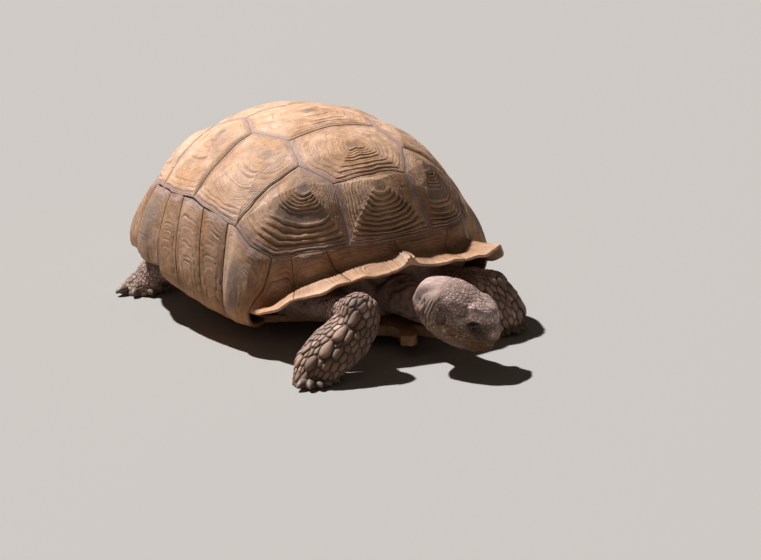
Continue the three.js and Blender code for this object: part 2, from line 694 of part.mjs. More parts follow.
function addBody() {
  let body = solid(trunkGeometry());
  const wholeHead = headSolid();
  const neckRoom = flesh(neckPath(), neck.halves, { grow: seamGap });
  const neckSolid = flesh(neckPath(), neck.halves);
  body = body.subtract(neckRoom);
  for (const [name, limb] of Object.entries(limbs)) {
    const parts = limbPieces(limb, { ...(limb.root[1] < 0 ? foreLeg : hindLeg), ...limb });
    body = body.subtract(parts.upperRoom).subtract(parts.footRoom);
    addPiece(`${name}_upper_leg`, geometryOf(parts.upper.subtract(parts.footRoom)), colour.skin);
    addPiece(`${name}_foot`, geometryOf(parts.foot), colour.scaled);
  }
  const tailHalves = tail.radii.map((radius) => [radius, radius]);
  body = body.subtract(flesh(tail.path, tailHalves, { grow: seamGap }));
  addPiece("tail", geometryOf(flesh(tail.path, tailHalves)), colour.skin);
  addPiece("trunk", geometryOf(body), colour.skin);
  let skull = wholeHead.subtract(neckRoom);
  const jaw = wholeHead.intersect(jawRoom(0)).subtract(neckRoom);
  skull = skull.subtract(jawRoom(head.mouthGap));
  for (const [name, side] of [["left", 1], ["right", -1]]) {
    skull = skull.subtract(eyeSolid(side, seamGap));
    addPiece(`eye_${name}`, geometryOf(eyeSolid(side)), colour.eye, 0.15);
  }
  addPiece("neck", geometryOf(neckSolid), colour.skin);
  addPiece("head", geometryOf(skull), colour.skin);
  addPiece("lower_jaw", geometryOf(jaw), colour.skin);
}

addCarapace();
addPlastron();
addBody();

export default tortoise;
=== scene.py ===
import math
import time

import bmesh
import bpy
import numpy as np
from mathutils import Matrix, Vector
from mathutils.bvhtree import BVHTree
from mathutils.kdtree import KDTree


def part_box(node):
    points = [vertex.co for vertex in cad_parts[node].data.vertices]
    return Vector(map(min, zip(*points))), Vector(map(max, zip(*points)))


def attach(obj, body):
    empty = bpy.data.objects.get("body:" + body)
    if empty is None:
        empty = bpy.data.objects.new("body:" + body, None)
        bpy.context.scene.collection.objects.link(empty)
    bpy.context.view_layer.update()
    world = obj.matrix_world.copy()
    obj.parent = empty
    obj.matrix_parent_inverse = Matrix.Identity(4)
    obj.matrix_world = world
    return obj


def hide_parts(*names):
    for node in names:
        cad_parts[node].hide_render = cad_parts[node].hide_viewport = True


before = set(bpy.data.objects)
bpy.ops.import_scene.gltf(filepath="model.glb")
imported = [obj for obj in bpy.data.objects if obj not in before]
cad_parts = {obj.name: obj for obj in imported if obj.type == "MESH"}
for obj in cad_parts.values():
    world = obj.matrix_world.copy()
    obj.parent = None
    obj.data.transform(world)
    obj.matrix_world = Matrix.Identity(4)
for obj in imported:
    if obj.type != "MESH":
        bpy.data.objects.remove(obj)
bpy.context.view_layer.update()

startTime = time.time()


def say(words):
    print(f"{words} ({time.time() - startTime:.0f} s)")


# small tools that the pieces share

standAt = np.array([2.5, 91.4, 0.0])  # mm, from the dome's middle to the frame's origin


def toFrame(places):  # model millimetres to metres in the frame
    return (np.asarray(places, float) + standAt) / 1000


def smooth(x):
    x = np.clip(x, 0, 1)
    return x * x * (3 - 2 * x)


def lobe(x, centre, width):
    return bell((x - centre) / width)


def bell(x):
    return np.exp(-(x ** 2))


def plateau(x):
    return np.exp(-(x ** 4))


def lengthOf(vectors):
    return np.linalg.norm(vectors, axis=-1)


def beside(*values):
    return np.stack(values, -1)


def roundTurns(count):  # radians, evenly round a circle
    return np.linspace(0, 2 * np.pi, count, endpoint=False)


def unit(vectors):
    return vectors / np.maximum(np.linalg.norm(vectors, axis=-1, keepdims=True), 1e-12)


lattices = {}
latticeSide = 24  # cells, after which the lumps repeat


def noise(places, cell, seed):  # smooth lumps from -1 to 1, about one cell across
    if seed not in lattices:
        lattices[seed] = np.random.default_rng(seed).random((latticeSide,) * 3) * 2 - 1
    grid = lattices[seed]
    places = np.asarray(places, float) / cell
    low = np.floor(places).astype(int)
    part = smooth(places - low)
    total = 0
    for dx in (0, 1):
        for dy in (0, 1):
            for dz in (0, 1):
                share = (part[..., 0] if dx else 1 - part[..., 0])
                share = share * (part[..., 1] if dy else 1 - part[..., 1])
                share = share * (part[..., 2] if dz else 1 - part[..., 2])
                at = (low + (dx, dy, dz)) % latticeSide
                total = total + share * grid[at[..., 0], at[..., 1], at[..., 2]]
    return total


def makeMesh(name, places, *faceBlocks):
    mesh = bpy.data.meshes.new(name)
    mesh.vertices.add(len(places))
    mesh.vertices.foreach_set("co", np.asarray(places, np.float32).ravel())
    blocks = [np.asarray(block, np.int32) for block in faceBlocks if len(block)]
    corners = np.concatenate([block.ravel() for block in blocks])
    sizes = np.concatenate([np.full(len(block), block.shape[1]) for block in blocks])
    mesh.loops.add(len(corners))
    mesh.loops.foreach_set("vertex_index", corners)
    mesh.polygons.add(len(sizes))
    starts = np.concatenate([[0], np.cumsum(sizes)[:-1]]).astype(np.int32)
    mesh.polygons.foreach_set("loop_start", starts)
    mesh.update(calc_edges=True)
    mesh.shade_smooth()
    return mesh


def capFaces(centre, ring):  # a fan of triangles from a point to a closed ring
    return beside(np.full(len(ring), centre), ring, np.roll(ring, -1))


def applied(made):  # the plain mesh that its modifiers make, and the modifiers gone
    result = bpy.data.meshes.new_from_object(made.evaluated_get(bpy.context.evaluated_depsgraph_get()))
    made.modifiers.clear()
    made.data = result
    return result


def joinedAs(name, pieces):
    with bpy.context.temp_override(active_object=pieces[0], selected_editable_objects=pieces):
        bpy.ops.object.join()
    pieces[0].name = name
    return pieces[0]


def makeObject(name, mesh):
    made = bpy.data.objects.new(name, mesh)
    bpy.context.scene.collection.objects.link(made)
    return made


def setMask(mesh, name, values):
    layer = mesh.attributes.new(name, "FLOAT", "POINT")
    layer.data.foreach_set("value", np.asarray(values, np.float32).ravel())


def meshPlaces(mesh):
    places = np.empty(len(mesh.vertices) * 3, np.float32)
    mesh.vertices.foreach_get("co", places)
    return places.reshape(-1, 3).astype(float)


def meshNormals(mesh):
    normals = np.empty(len(mesh.vertices) * 3, np.float32)
    mesh.vertices.foreach_get("normal", normals)
    return normals.reshape(-1, 3).astype(float)


def gridFaces(columns, rows, isClosed=False):
    across = np.arange(columns if isClosed else columns - 1)
    down = np.arange(rows - 1)
    c, r = np.meshgrid(across, down, indexing="ij")
    after = (c + 1) % columns
    quads = beside(c * rows + r, c * rows + r + 1, after * rows + r + 1, after * rows + r)
    return quads.reshape(-1, 4)


# materials, and the groups that several of them share


def addNode(tree, kind, **settings):  # nodes are laid out in rows as they are made
    node = tree.nodes.new(kind)
    count = len(tree.nodes)
    node.location = (-250 * (1 + count % 9), 300 - 250 * (count // 9))
    for name, value in settings.items():
        setattr(node, name, value)
    return node


def setSocket(tree, socket, value):  # to a fixed value, or to what another node gives
    if isinstance(value, bpy.types.NodeSocket):
        tree.links.new(value, socket)
    else:
        socket.default_value = value


def nodeWith(tree, kind, inputs, **settings):
    node = addNode(tree, kind, **settings)
    for label, value in inputs.items():
        setSocket(tree, node.inputs[label], value)
    return node.outputs[0]


def mixColour(tree, share, first, second, blend="MIX"):  # second over first
    colours = [(*colour, 1) if isinstance(colour, tuple) else colour for colour in (first, second)]
    mixed = nodeWith(tree, "ShaderNodeMix", {0: share, 6: colours[0], 7: colours[1]},
                     data_type="RGBA", blend_type=blend)
    return mixed.node.outputs[2]


def shaded(tree, colour, tone):  # lighter where tone is over 1, darker where it is under
    return mixColour(tree, 1.0, colour, tone, "MULTIPLY")


def calc(tree, operation, *values, clamp=False):
    return nodeWith(tree, "ShaderNodeMath", dict(enumerate(values)), operation=operation, use_clamp=clamp)


def times(tree, first, second, clamp=False):
    return calc(tree, "MULTIPLY", first, second, clamp=clamp)


def ranged(tree, value, low, high, toLow=0.0, toHigh=1.0):
    return nodeWith(tree, "ShaderNodeMapRange", {0: value, 1: low, 2: high, 3: toLow, 4: toHigh},
                    interpolation_type="SMOOTHSTEP")


def noiseNode(tree, vector, scale, detail=4, roughness=0.6):
    return nodeWith(tree, "ShaderNodeTexNoise",
                    {"Vector": vector, "Scale": scale, "Detail": detail, "Roughness": roughness})


def objectPlaces(tree):
    return addNode(tree, "ShaderNodeTexCoord").outputs["Object"]


def mask(tree, name):
    return addNode(tree, "ShaderNodeAttribute", attribute_name=name).outputs["Fac"]


def newSockets(tree, way, sockets):
    for label, kind, *value in sockets:
        socket = tree.interface.new_socket(label, in_out=way, socket_type=kind)
        if value:
            socket.default_value = value[0]


def newGroup(name, inputs, outputs):
    tree = bpy.data.node_groups.new(name, "ShaderNodeTree")
    newSockets(tree, "INPUT", inputs)
    newSockets(tree, "OUTPUT", outputs)
    entry, leave = addNode(tree, "NodeGroupInput"), addNode(tree, "NodeGroupOutput")
    return tree, entry.outputs, leave.inputs


def useGroup(tree, group, **values):
    node = addNode(tree, "ShaderNodeGroup", node_tree=group)
    for label, value in values.items():
        setSocket(tree, node.inputs[label], value)
    return node.outputs


# dust and dry dirt: a colour laid thinly over another one, more of it where Dirt is higher
def dustGroup():
    tree, given, out = newGroup(
        "dryDust",
        [("Colour", "NodeSocketColor", (0.5, 0.5, 0.5, 1)), ("Dirt", "NodeSocketFloat", 0.0),
         ("Tint", "NodeSocketColor", (0.45, 0.33, 0.22, 1)), ("Amount", "NodeSocketFloat", 0.3)],
        [("Colour", "NodeSocketColor")])
    spots = objectPlaces(tree)
    both = times(tree, noiseNode(tree, spots, 22, 5, 0.65), noiseNode(tree, spots, 260, 3, 0.7))
    more = calc(tree, "ADD", ranged(tree, both, 0.16, 0.36), given["Dirt"], clamp=True)
    share = times(tree, more, given["Amount"], clamp=True)
    tree.links.new(mixColour(tree, share, given["Colour"], given["Tint"]), out["Colour"])
    return tree


# fine grain: a height for bump and a value that lightens and darkens a colour
def grainGroup():
    tree, given, out = newGroup(
        "fineGrain", [("Scale", "NodeSocketFloat", 300.0)],
        [("Height", "NodeSocketFloat"), ("Shade", "NodeSocketFloat")])
    spots = objectPlaces(tree)
    first = noiseNode(tree, spots, given["Scale"], 5, 0.65)
    second = noiseNode(tree, spots, times(tree, given["Scale"], 0.24), 3, 0.5)
    total = calc(tree, "ADD", first, second)
    tree.links.new(times(tree, total, 0.5), out["Height"])
    tree.links.new(ranged(tree, total, 0.6, 1.4), out["Shade"])
    return tree


dryDust = dustGroup()
fineGrain = grainGroup()


def setSurface(tree, surface, inputs):
    for label, value in inputs.items():
        setSocket(tree, surface.inputs[label], value)


def newMaterial(name):
    material = bpy.data.materials.new(name)
    material.use_nodes = True
    tree = material.node_tree
    return material, tree, tree.nodes["Principled BSDF"]


def bumpInto(tree, surface, height, distance, strength=1.0):
    bump = nodeWith(tree, "ShaderNodeBump", {"Strength": strength, "Distance": distance, "Height": height})
    tree.links.new(bump, surface.inputs["Normal"])


def dustOver(tree, surface, colour, tint, amount, dirt=0.0):
    dusty = useGroup(tree, dryDust, Colour=colour, Dirt=dirt, Tint=(*tint, 1), Amount=amount)
    tree.links.new(dusty["Colour"], surface.inputs["Base Color"])


# horn of the shell: orange tan where worn, brown in the growth lines and where rough, grey on the oldest
# parts, and a lavender band along the seams; the brown where rough is partly painted shade and the dark ring
# lines are partly painted step shadow; growth counts lines outwards from the oldest part, toSeam is in
# millimetres
hornLook = {
    "tan": (0.56, 0.31, 0.165), "pale": (0.74, 0.48, 0.33), "brownAndShade": (0.24, 0.115, 0.048),
    "line": (0.036, 0.017, 0.010), "grey": (0.165, 0.118, 0.096), "band": (0.43, 0.29, 0.26),
    "orange": (0.38, 0.155, 0.05), "roughness": 0.60, "specular": 0.3, "bump": 0.0012,
}


def growthLines(tree, growth, spots, stretch, low, high):
    along = nodeWith(tree, "ShaderNodeCombineXYZ", {0: times(tree, growth, stretch)})
    wander = nodeWith(tree, "ShaderNodeVectorMath", {0: spots, "Scale": 17}, operation="SCALE")
    total = nodeWith(tree, "ShaderNodeVectorMath", {0: along, 1: wander}, operation="ADD")
    return ranged(tree, noiseNode(tree, total, 1.0, 3, 0.6), low, high)


def hornMaterial(name, look):
    material, tree, surface = newMaterial(name)
    spots = objectPlaces(tree)
    broad = noiseNode(tree, spots, 9, 4)
    patchy = noiseNode(tree, spots, 42, 6, 0.72)
    grain = useGroup(tree, fineGrain, Scale=420.0)
    growth = mask(tree, "growth")
    fine = growthLines(tree, growth, spots, 1.0, 0.42, 0.66)
    sparse = growthLines(tree, growth, spots, 0.36, 0.60, 0.70)
    toSeam = mask(tree, "toSeam")
    wobble = calc(tree, "MULTIPLY_ADD", patchy, 2.4, -1.2)
    seamed = calc(tree, "ADD", toSeam, wobble)
    comb = calc(tree, "PINGPONG", seamed, 1.55)
    combLine = times(tree, ranged(tree, comb, 0.0, 0.62, 1.0, 0.0),
                     ranged(tree, toSeam, 7.0, 14.5, 1.0, 0.0))
    combLine = times(tree, combLine, ranged(tree, toSeam, 1.2, 2.4))
    bundle = times(tree, combLine, mask(tree, "bundle"))
    seamLine = times(tree, ranged(tree, toSeam, 0.5, 1.7, 1.0, 0.0), mask(tree, "seamDark"))
    colour = mixColour(tree, ranged(tree, broad, 0.36, 0.64), look["tan"], look["pale"])
    # the brown laid on by the rough mask is partly painted shade: the front scutes' terraces, the front wall
    # under the lip and the flank marginals lie in shade
    colour = mixColour(tree, times(tree, mask(tree, "rough"), 0.62), colour, look["brownAndShade"])
    colour = mixColour(tree, times(tree, mask(tree, "low"), 0.85), colour, look["orange"])
    greyed = times(tree, mask(tree, "old"), ranged(tree, patchy, 0.32, 0.58, 0.55, 1.0))
    colour = mixColour(tree, greyed, colour, look["grey"])
    banded = times(tree, mask(tree, "band"), ranged(tree, patchy, 0.34, 0.6, 0.35, 1.0))
    colour = mixColour(tree, banded, colour, look["band"])
    colour = shaded(tree, colour, ranged(tree, patchy, 0.25, 0.75, 0.70, 1.26))
    lined = times(tree, fine, mask(tree, "lined"))
    colour = shaded(tree, colour, ranged(tree, lined, 0.0, 1.0, 1.05, 0.72))
    colour = shaded(tree, colour, ranged(tree, grain["Shade"], 0.0, 1.0, 0.87, 1.12))
    notch = times(tree, sparse, ranged(tree, patchy, 0.44, 0.6, 0.0, 0.62))
    # the ring lines darken the foot of each growth step, partly as painted step shadow; the seam lines are
    # dark joints
    ring = calc(tree, "MAXIMUM", mask(tree, "ring"), notch)
    seams = calc(tree, "MAXIMUM", bundle, seamLine)
    dark = calc(tree, "MAXIMUM", ring, seams, clamp=True)
    colour = mixColour(tree, times(tree, dark, 0.9), colour, look["line"])
    dustOver(tree, surface, colour, (0.52, 0.34, 0.22), 0.2)
    rough = ranged(tree, patchy, 0.3, 0.7, look["roughness"] - 0.12, look["roughness"] + 0.16)
    setSurface(tree, surface, {"Roughness": rough, "Specular IOR Level": look["specular"]})
    furrows = calc(tree, "MULTIPLY_ADD", lined, -0.8, grain["Height"])
    bumpInto(tree, surface, calc(tree, "MULTIPLY_ADD", dark, -0.8, furrows), look["bump"], 0.6)
    return material


# hide: the same markings on the bare skin and on the scales that lie over it; its near-black dark paints
# shade in creases and between scales, its dusky violet-brown paints shade on the muzzle and temples, and its
# pale is partly painted light on the top of the head
hideLook = {
    "pink": (0.44, 0.28, 0.22), "grey": (0.25, 0.17, 0.145), "pale": (0.66, 0.47, 0.42),
    "orange": (0.20, 0.095, 0.038), "dark": (0.026, 0.016, 0.012), "dusky": (0.085, 0.058, 0.055),
}


def hideGroup(look):
    tree, given, out = newGroup(
        "hideMarkings",
        [("Warm", "NodeSocketFloat", 0.0), ("Bright", "NodeSocketFloat", 0.0),
         ("Dusky", "NodeSocketFloat", 0.0)],
        [("Colour", "NodeSocketColor"), ("Mottle", "NodeSocketFloat")])
    spots = objectPlaces(tree)
    broad = noiseNode(tree, spots, 16, 4)
    patchy = noiseNode(tree, spots, 90, 5, 0.7)
    colour = mixColour(tree, ranged(tree, broad, 0.35, 0.65), look["pink"], look["grey"])
    colour = mixColour(tree, given["Warm"], colour, look["orange"])
    # the pale is partly painted light on the top of the head, and partly the hide's own pale marks
    colour = mixColour(tree, given["Bright"], colour, look["pale"])
    # painted shade: the dusky violet-brown on the muzzle sides and temples
    colour = mixColour(tree, given["Dusky"], colour, look["dusky"])
    colour = shaded(tree, colour, ranged(tree, patchy, 0.25, 0.75, 0.7, 1.25))
    tree.links.new(colour, out["Colour"])
    tree.links.new(patchy, out["Mottle"])
    return tree


hideMarkings = hideGroup(hideLook)


def hideMarks(tree):
    masks = {word.title(): mask(tree, word) for word in ("warm", "bright", "dusky")}
    return useGroup(tree, hideMarkings, **masks)


def skinMaterial(look):
    material, tree, surface = newMaterial("hide")
    marks = hideMarks(tree)
    grain = useGroup(tree, fineGrain, Scale=520.0)
    creaseShade = mask(tree, "creaseShade")
    # creases, folds, pits and the foreleg skin between the scales are painted near-black as painted shade
    colour = mixColour(tree, times(tree, creaseShade, 0.85), marks["Colour"], look["dark"])
    dustOver(tree, surface, colour, (0.42, 0.31, 0.24), 0.25)
    rough = ranged(tree, marks["Mottle"], 0.3, 0.7, 0.68, 0.9)
    setSurface(tree, surface, {"Roughness": rough, "Specular IOR Level": 0.3})
    spots = objectPlaces(tree)
    pebbles = nodeWith(tree, "ShaderNodeTexVoronoi", {"Vector": spots, "Scale": 330},
                       feature="DISTANCE_TO_EDGE")
    cracks = ranged(tree, pebbles.node.outputs["Distance"], 0.0, 0.14)
    height = calc(tree, "ADD", cracks, grain["Height"])
    bumpInto(tree, surface, height, 0.0011, 0.75)
    return material


def scaleMaterial(look):
    material, tree, surface = newMaterial("hideScales")
    marks = hideMarks(tree)
    grain = useGroup(tree, fineGrain, Scale=600.0)
    colour = shaded(tree, marks["Colour"], ranged(tree, mask(tree, "tone"), 0.0, 1.0, 0.78, 1.3))
    # the dark rim is painted shade round each scale's edge and in the gaps between scales
    colour = mixColour(tree, times(tree, mask(tree, "rim"), 0.9), colour, look["dark"])
    dustOver(tree, surface, colour, (0.46, 0.34, 0.26), 0.2)
    rough = ranged(tree, marks["Mottle"], 0.3, 0.7, 0.55, 0.8)
    setSurface(tree, surface, {"Roughness": rough, "Specular IOR Level": 0.35})
    bumpInto(tree, surface, grain["Height"], 0.0008, 0.6)
    return material


def clawMaterial():
    material, tree, surface = newMaterial("clawHorn")
    grain = useGroup(tree, fineGrain, Scale=380.0)
    colour = mixColour(tree, grain["Shade"], (0.06, 0.042, 0.03), (0.20, 0.145, 0.10))
    dustOver(tree, surface, colour, (0.30, 0.22, 0.16), 0.3, 0.1)
    setSurface(tree, surface, {"Roughness": ranged(tree, grain["Shade"], 0, 1, 0.45, 0.7)})
    bumpInto(tree, surface, grain["Height"], 0.0008, 0.5)
    return material


def eyeMaterial():
    material, tree, surface = newMaterial("eyeWet")
    front = mask(tree, "front")  # 1 at the middle of the pupil, 0 at the eye's edge
    spots = objectPlaces(tree)
    fleck = noiseNode(tree, spots, 1400, 4, 0.7)
    iris = mixColour(tree, fleck, (0.025, 0.014, 0.008), (0.075, 0.042, 0.02))
    inner = mixColour(tree, ranged(tree, front, 0.86, 0.9), iris, (0.002, 0.002, 0.002))
    outer = mixColour(tree, ranged(tree, front, 0.62, 0.7), (0.03, 0.02, 0.015), inner)
    setSurface(tree, surface, {
        "Base Color": outer, "Roughness": 0.25, "Specular IOR Level": 0.2, "Coat Weight": 0.45,
        "Coat Roughness": 0.05,
    })
    return material


shellHorn = hornMaterial("shellHorn", hornLook)
# the plastron's tan and pale are darker than the shell's, partly as painted shade, since it lies in shade
# under the shell
plastronShadedColours = {**hornLook, "tan": (0.23, 0.135, 0.075), "pale": (0.31, 0.20, 0.12), "roughness": 0.55}
plastronHorn = hornMaterial("plastronHorn", plastronShadedColours)
hide = skinMaterial(hideLook)
hideScales = scaleMaterial(hideLook)
clawHorn = clawMaterial()
eyeWet = eyeMaterial()
say("materials ready")


# the shell's surface: (u, v) is the way from the dome's top, its length the share of the way down

shell = {
    "halfWidth": 280, "frontLength": 362, "backLength": 338, "middle": 12, "rimHeight": 81,
    "domeHeight": 255, "squareness": 2.18, "steepness": 1.1, "plate": 8, "lip": 5, "flareStart": 0.7,
    "cornerFlare": 0.105, "rearLift": 16, "rearFlare": 0.03,
    "bridgeTuck": 0.25, "bellyHeight": 26, "bellyRise": 24, "seamGap": 0.35,
    "lipStart": 0.70, "lipStartSide": 0.775, "lipWidth": (46, 66), "lipRise": (11, 5), "lipEnd": 51,
    "lipUpturn": 7, "frontPull": 0.080,
}
# height of the rim round the front: angle from the front, right side, left side
frontRim = np.array([
    (0, 148, 148), (8, 140, 140), (15, 135, 136), (22, 133, 133), (28, 126, 131), (35, 114, 135),
    (40, 106, 134), (46, 84, 106), (52, 68, 78), (57, 72, 75), (64, 81, 81), (75, 81, 81),
])
rimAngles = np.arange(0, 76.0)
rimHeights = [np.interp(rimAngles, frontRim[:, 0], frontRim[:, side]) for side in (1, 2)]
for heights in rimHeights:
    for _ in range(3):
        heights[1:-1] = (heights[:-2] + 2 * heights[1:-1] + heights[2:]) / 4


def around(degrees, share):
    angle = np.radians(degrees)
    return beside(share * np.sin(angle), -share * np.cos(angle))


def domePoint(uv, isFlared=True, isPulled=True):  # millimetres
    u, v = uv[..., 0], uv[..., 1]
    share = np.maximum(np.hypot(u, v), 1e-9)
    across, along = u / share, v / share
    angle = np.degrees(np.arctan2(np.abs(u), -v))
    power = shell["squareness"]
    square = (np.abs(across) ** power + np.abs(along) ** power) ** (-1 / power)
    slope = np.minimum(share, 1) * math.pi / 2
    flare = smooth((share - shell["flareStart"]) / (1 - shell["flareStart"])) * isFlared
    flareOut = shell["cornerFlare"] * lobe(angle, 40, 18) + shell["rearFlare"] * lobe(angle, 145, 30)
    tuck = np.maximum(share - 1, 0) * math.pi
    spread = (np.sin(slope) + flareOut * flare ** 1.5) * (1 - shell["bridgeTuck"] * (1 - np.cos(tuck)))
    if isPulled:  # the lower part of the front wall stands back behind the lip
        pull = shell["frontPull"] * (1 - smooth((angle - 36 - 4 * (u > 0)) / (22 + 18 * (u > 0))))
        spread = spread * (1 - pull * smooth((share - 0.38) / 0.3))
    length = np.where(v < 0, shell["frontLength"], shell["backLength"])
    lift = np.where(u < 0, np.interp(angle, rimAngles, rimHeights[0]),
                    np.interp(angle, rimAngles, rimHeights[1]))
    lift = lift - shell["rimHeight"] + shell["rearLift"] * smooth((angle - 65) / 25)
    belly = shell["bellyHeight"] + shell["bellyRise"] * smooth((angle - 55) / 40)
    rim = shell["rimHeight"] + lift
    dome = shell["rimHeight"] + shell["domeHeight"] * np.cos(slope) ** shell["steepness"] + lift * flare
    z = np.where(share <= 1, dome, rim - (rim - belly) * np.sin(tuck))
    x = shell["halfWidth"] * square * across * spread
    y = shell["middle"] + length * square * along * spread
    return beside(x, y, z)


def hermite(start, end, leaving, arriving, t):
    return (start * (1 - t) ** 2 * (1 + 2 * t) + end * t ** 2 * (3 - 2 * t)
            + leaving * t * (1 - t) ** 2 - arriving * t ** 2 * (1 - t))


# round the front the dome drops into a hollow and turns out again as a lip
def shellPoint(uv, isFlared=True):
    places = domePoint(uv, isFlared)
    share = lengthOf(uv)
    angle = np.degrees(np.arctan2(np.abs(uv[..., 0]), -uv[..., 1]))
    start = shell["lipStart"] + (shell["lipStartSide"] - shell["lipStart"]) * smooth(angle / 40)
    isLip = (share > start) & (share <= 1) & (angle < shell["lipEnd"] + 5)
    if not isFlared or not isLip.any():
        return places
    out, start = uv[isLip] / share[isLip][:, None], start[isLip]
    startAt = out * start[:, None]
    wall, above, rim = domePoint(startAt), domePoint(startAt - out * 0.04), domePoint(out, isPulled=False)
    inward = unit((wall - rim) * (1, 1, 0))
    depth = lengthOf((wall - rim)[:, :2])
    toCorner = smooth((angle[isLip] - 12) / 18)
    width = np.minimum(np.interp(toCorner, [0, 1], shell["lipWidth"]), 0.88 * depth)[:, None]
    hollow = rim + inward * width
    hollow[:, 2] += np.interp(toCorner, [0, 1], shell["lipRise"])
    down = unit(wall - above) * np.linalg.norm(hollow - wall, axis=-1, keepdims=True)
    level = unit(rim - wall) * width * 0.55
    t = ((share[isLip] - start) / (1 - start))[:, None]
    curve = np.where(
        t < 0.5, hermite(wall, hollow, down, level, np.minimum(2 * t, 1)),
        hermite(hollow, rim, level, rim - hollow + np.array([0, 0, shell["lipUpturn"]]),
                np.maximum(2 * t - 1, 0)))
    weight = smooth(t * 6) * (1 - smooth((angle[isLip] - shell["lipEnd"] + 5) / 8))[:, None]
    places[isLip] += (curve - places[isLip]) * weight
    return places


def shellNormal(uv, isFlared=True):
    share = np.maximum(np.linalg.norm(uv, axis=-1, keepdims=True), 1e-9)
    out = uv / share
    side = beside(-out[..., 1], out[..., 0])
    step = 0.004
    down = shellPoint(uv, isFlared) - shellPoint(uv - out * step, isFlared)
    turn = shellPoint(uv + side * step, isFlared) - shellPoint(uv - side * step, isFlared)
    return unit(np.cross(down, turn))


# corners of the scutes on the left side; the right side mirrors them
corner = {
    "v1v2": (0.172, -0.444), "v2c1c2": (0.239, -0.303), "v2v3": (0.189, -0.176), "v3c2c3": (0.256, -0.024),
    "v3v4": (0.182, 0.115), "v4c3c4": (0.243, 0.26), "v4v5": (0.142, 0.4),
}
marginLine = np.array([  # angle from the front, share of the way down
    (0, 0.765), (10, 0.755), (19.3, 0.75), (28.5, 0.77), (40.6, 0.79), (47, 0.786), (55, 0.74),
    (61.6, 0.672), (64.7, 0.665), (71, 0.645), (78, 0.63), (86, 0.615), (91.5, 0.62), (102, 0.63),
    (111, 0.637), (121, 0.66), (134, 0.69), (145, 0.7), (152, 0.7), (167, 0.76), (180, 0.79),
])
marginSeams = [  # angle at the upper scutes, angle at the rim
    (0, 0), (28.5, 22), (40.6, 39.5), (47, 53.5), (64.7, 62.5), (78, 71), (91.5, 82), (102, 93), (121, 112),
    (134, 130), (145, 147), (167, 165), (180, 180),
]
bridgeEnds = {53.5: 1.5, 62.5: 1.5, 71: 1.46, 82: 1.34, 93: 1.12}


def onMargin(angle):
    return around(angle, np.interp(angle, marginLine[:, 0], marginLine[:, 1]))


def marginBetween(low, high):
    inside = [a for a in marginLine[:, 0] if low < a < high]
    return [tuple(onMargin(a)) for a in [low, *inside, high]]


def seamWander(uv):  # seams aren't ruled lines: the same small wander moves both neighbours
    share = lengthOf(uv)
    amount = 0.0045 * (1 - smooth((share - 0.6) / 0.2))
    places = np.concatenate([uv * 100, np.zeros((*uv.shape[:-1], 1))], -1)
    moved = beside(noise(places, 5.5, 11), noise(places, 5.5, 12))
    return uv + moved * amount[..., None]


def finishPiece(made, material, slot, *nodes):
    made.data.materials.append(material)
    if nodes:
        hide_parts(*nodes)
    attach(made, "root")
    return made


# scutes of the dome, each grown in rings round its oldest part

domeLook = {
    "spokes": 236, "steps": 92, "seamInset": 0.0005, "ringRound": 20, "fineDepth": 0.16,
    "growthPitch": 1.7, "bundlePitch": 3.1, "bundleWidth": 0.8, "bundleStart": 1.6, "bundleFade": 7,
}
# what runs along each kind of seam: groove depth and width, how dark, how strong its parallel lines, its band
seamLooks = {
    "margin": {"depth": 0.9, "width": 1.6, "seamDark": 0.38, "bundle": 1.0, "band": 1.0, "bandWidth": 13.0},
    "costal": {"depth": 2.2, "width": 2.2, "seamDark": 0.95, "bundle": 1.0, "band": 0.25, "bandWidth": 4.0},
    "vertebral": {"depth": 0.7, "width": 1.8, "seamDark": 0.12, "bundle": 0.35, "band": 1.0,
                  "bandWidth": 8.5},
    "crossing": {"depth": 1.2, "width": 1.5, "seamDark": 0.6, "bundle": 0.5, "band": 0.4, "bandWidth": 4.0},
    "side": {"depth": 1.1, "width": 1.3, "seamDark": 0.7, "bundle": 0.35, "band": 0.1, "bandWidth": 3.0},
}
# rings are shares of the way from the oldest part to the seam, faces the way they stand out most
vertebrals = {
    "vertebral_1": {
        "half": [*marginBetween(0, 19.3), corner["v1v2"]], "old": (0, -0.493), "faces": (0, -1), "rise": 9,
        "rings": (0.20, 0.29, 0.37, 0.45, 0.52, 0.60, 0.67, 0.75, 0.82, 0.885, 0.94),
        "strong": 1.0, "worn": 0.1, "carve": 1.9,
    },
    "vertebral_2": {
        "half": [corner["v1v2"], corner["v2c1c2"], corner["v2v3"]], "old": (0, -0.31), "faces": (0, -1),
        "rise": 7, "rings": (0.17, 0.24, 0.31, 0.38, 0.47, 0.62, 0.74, 0.87),
        "strong": 0.6, "worn": 0.5, "wave": 0.045, "carve": 1.3,
    },
    "vertebral_3": {
        "half": [corner["v2v3"], corner["v3c2c3"], corner["v3v4"]], "old": (0, -0.05), "faces": (0, -1),
        "rise": 4, "rings": (0.3, 0.55, 0.7, 0.8, 0.9), "strong": 0.35, "worn": 0.85,
    },
    "vertebral_4": {
        "half": [corner["v3v4"], corner["v4c3c4"], corner["v4v5"]], "old": (0, 0.235), "faces": (0, 1),
        "rise": 5, "rings": (0.25, 0.42, 0.58, 0.7, 0.82, 0.92), "strong": 0.4, "worn": 0.8,
    },
    "vertebral_5": {
        "half": [corner["v4v5"], *marginBetween(152, 180)], "old": (0, 0.52), "faces": (0, 1), "rise": 8,
        "rings": (0.2, 0.32, 0.45, 0.56, 0.66, 0.78, 0.88), "strong": 0.6, "worn": 0.5,
    },
}
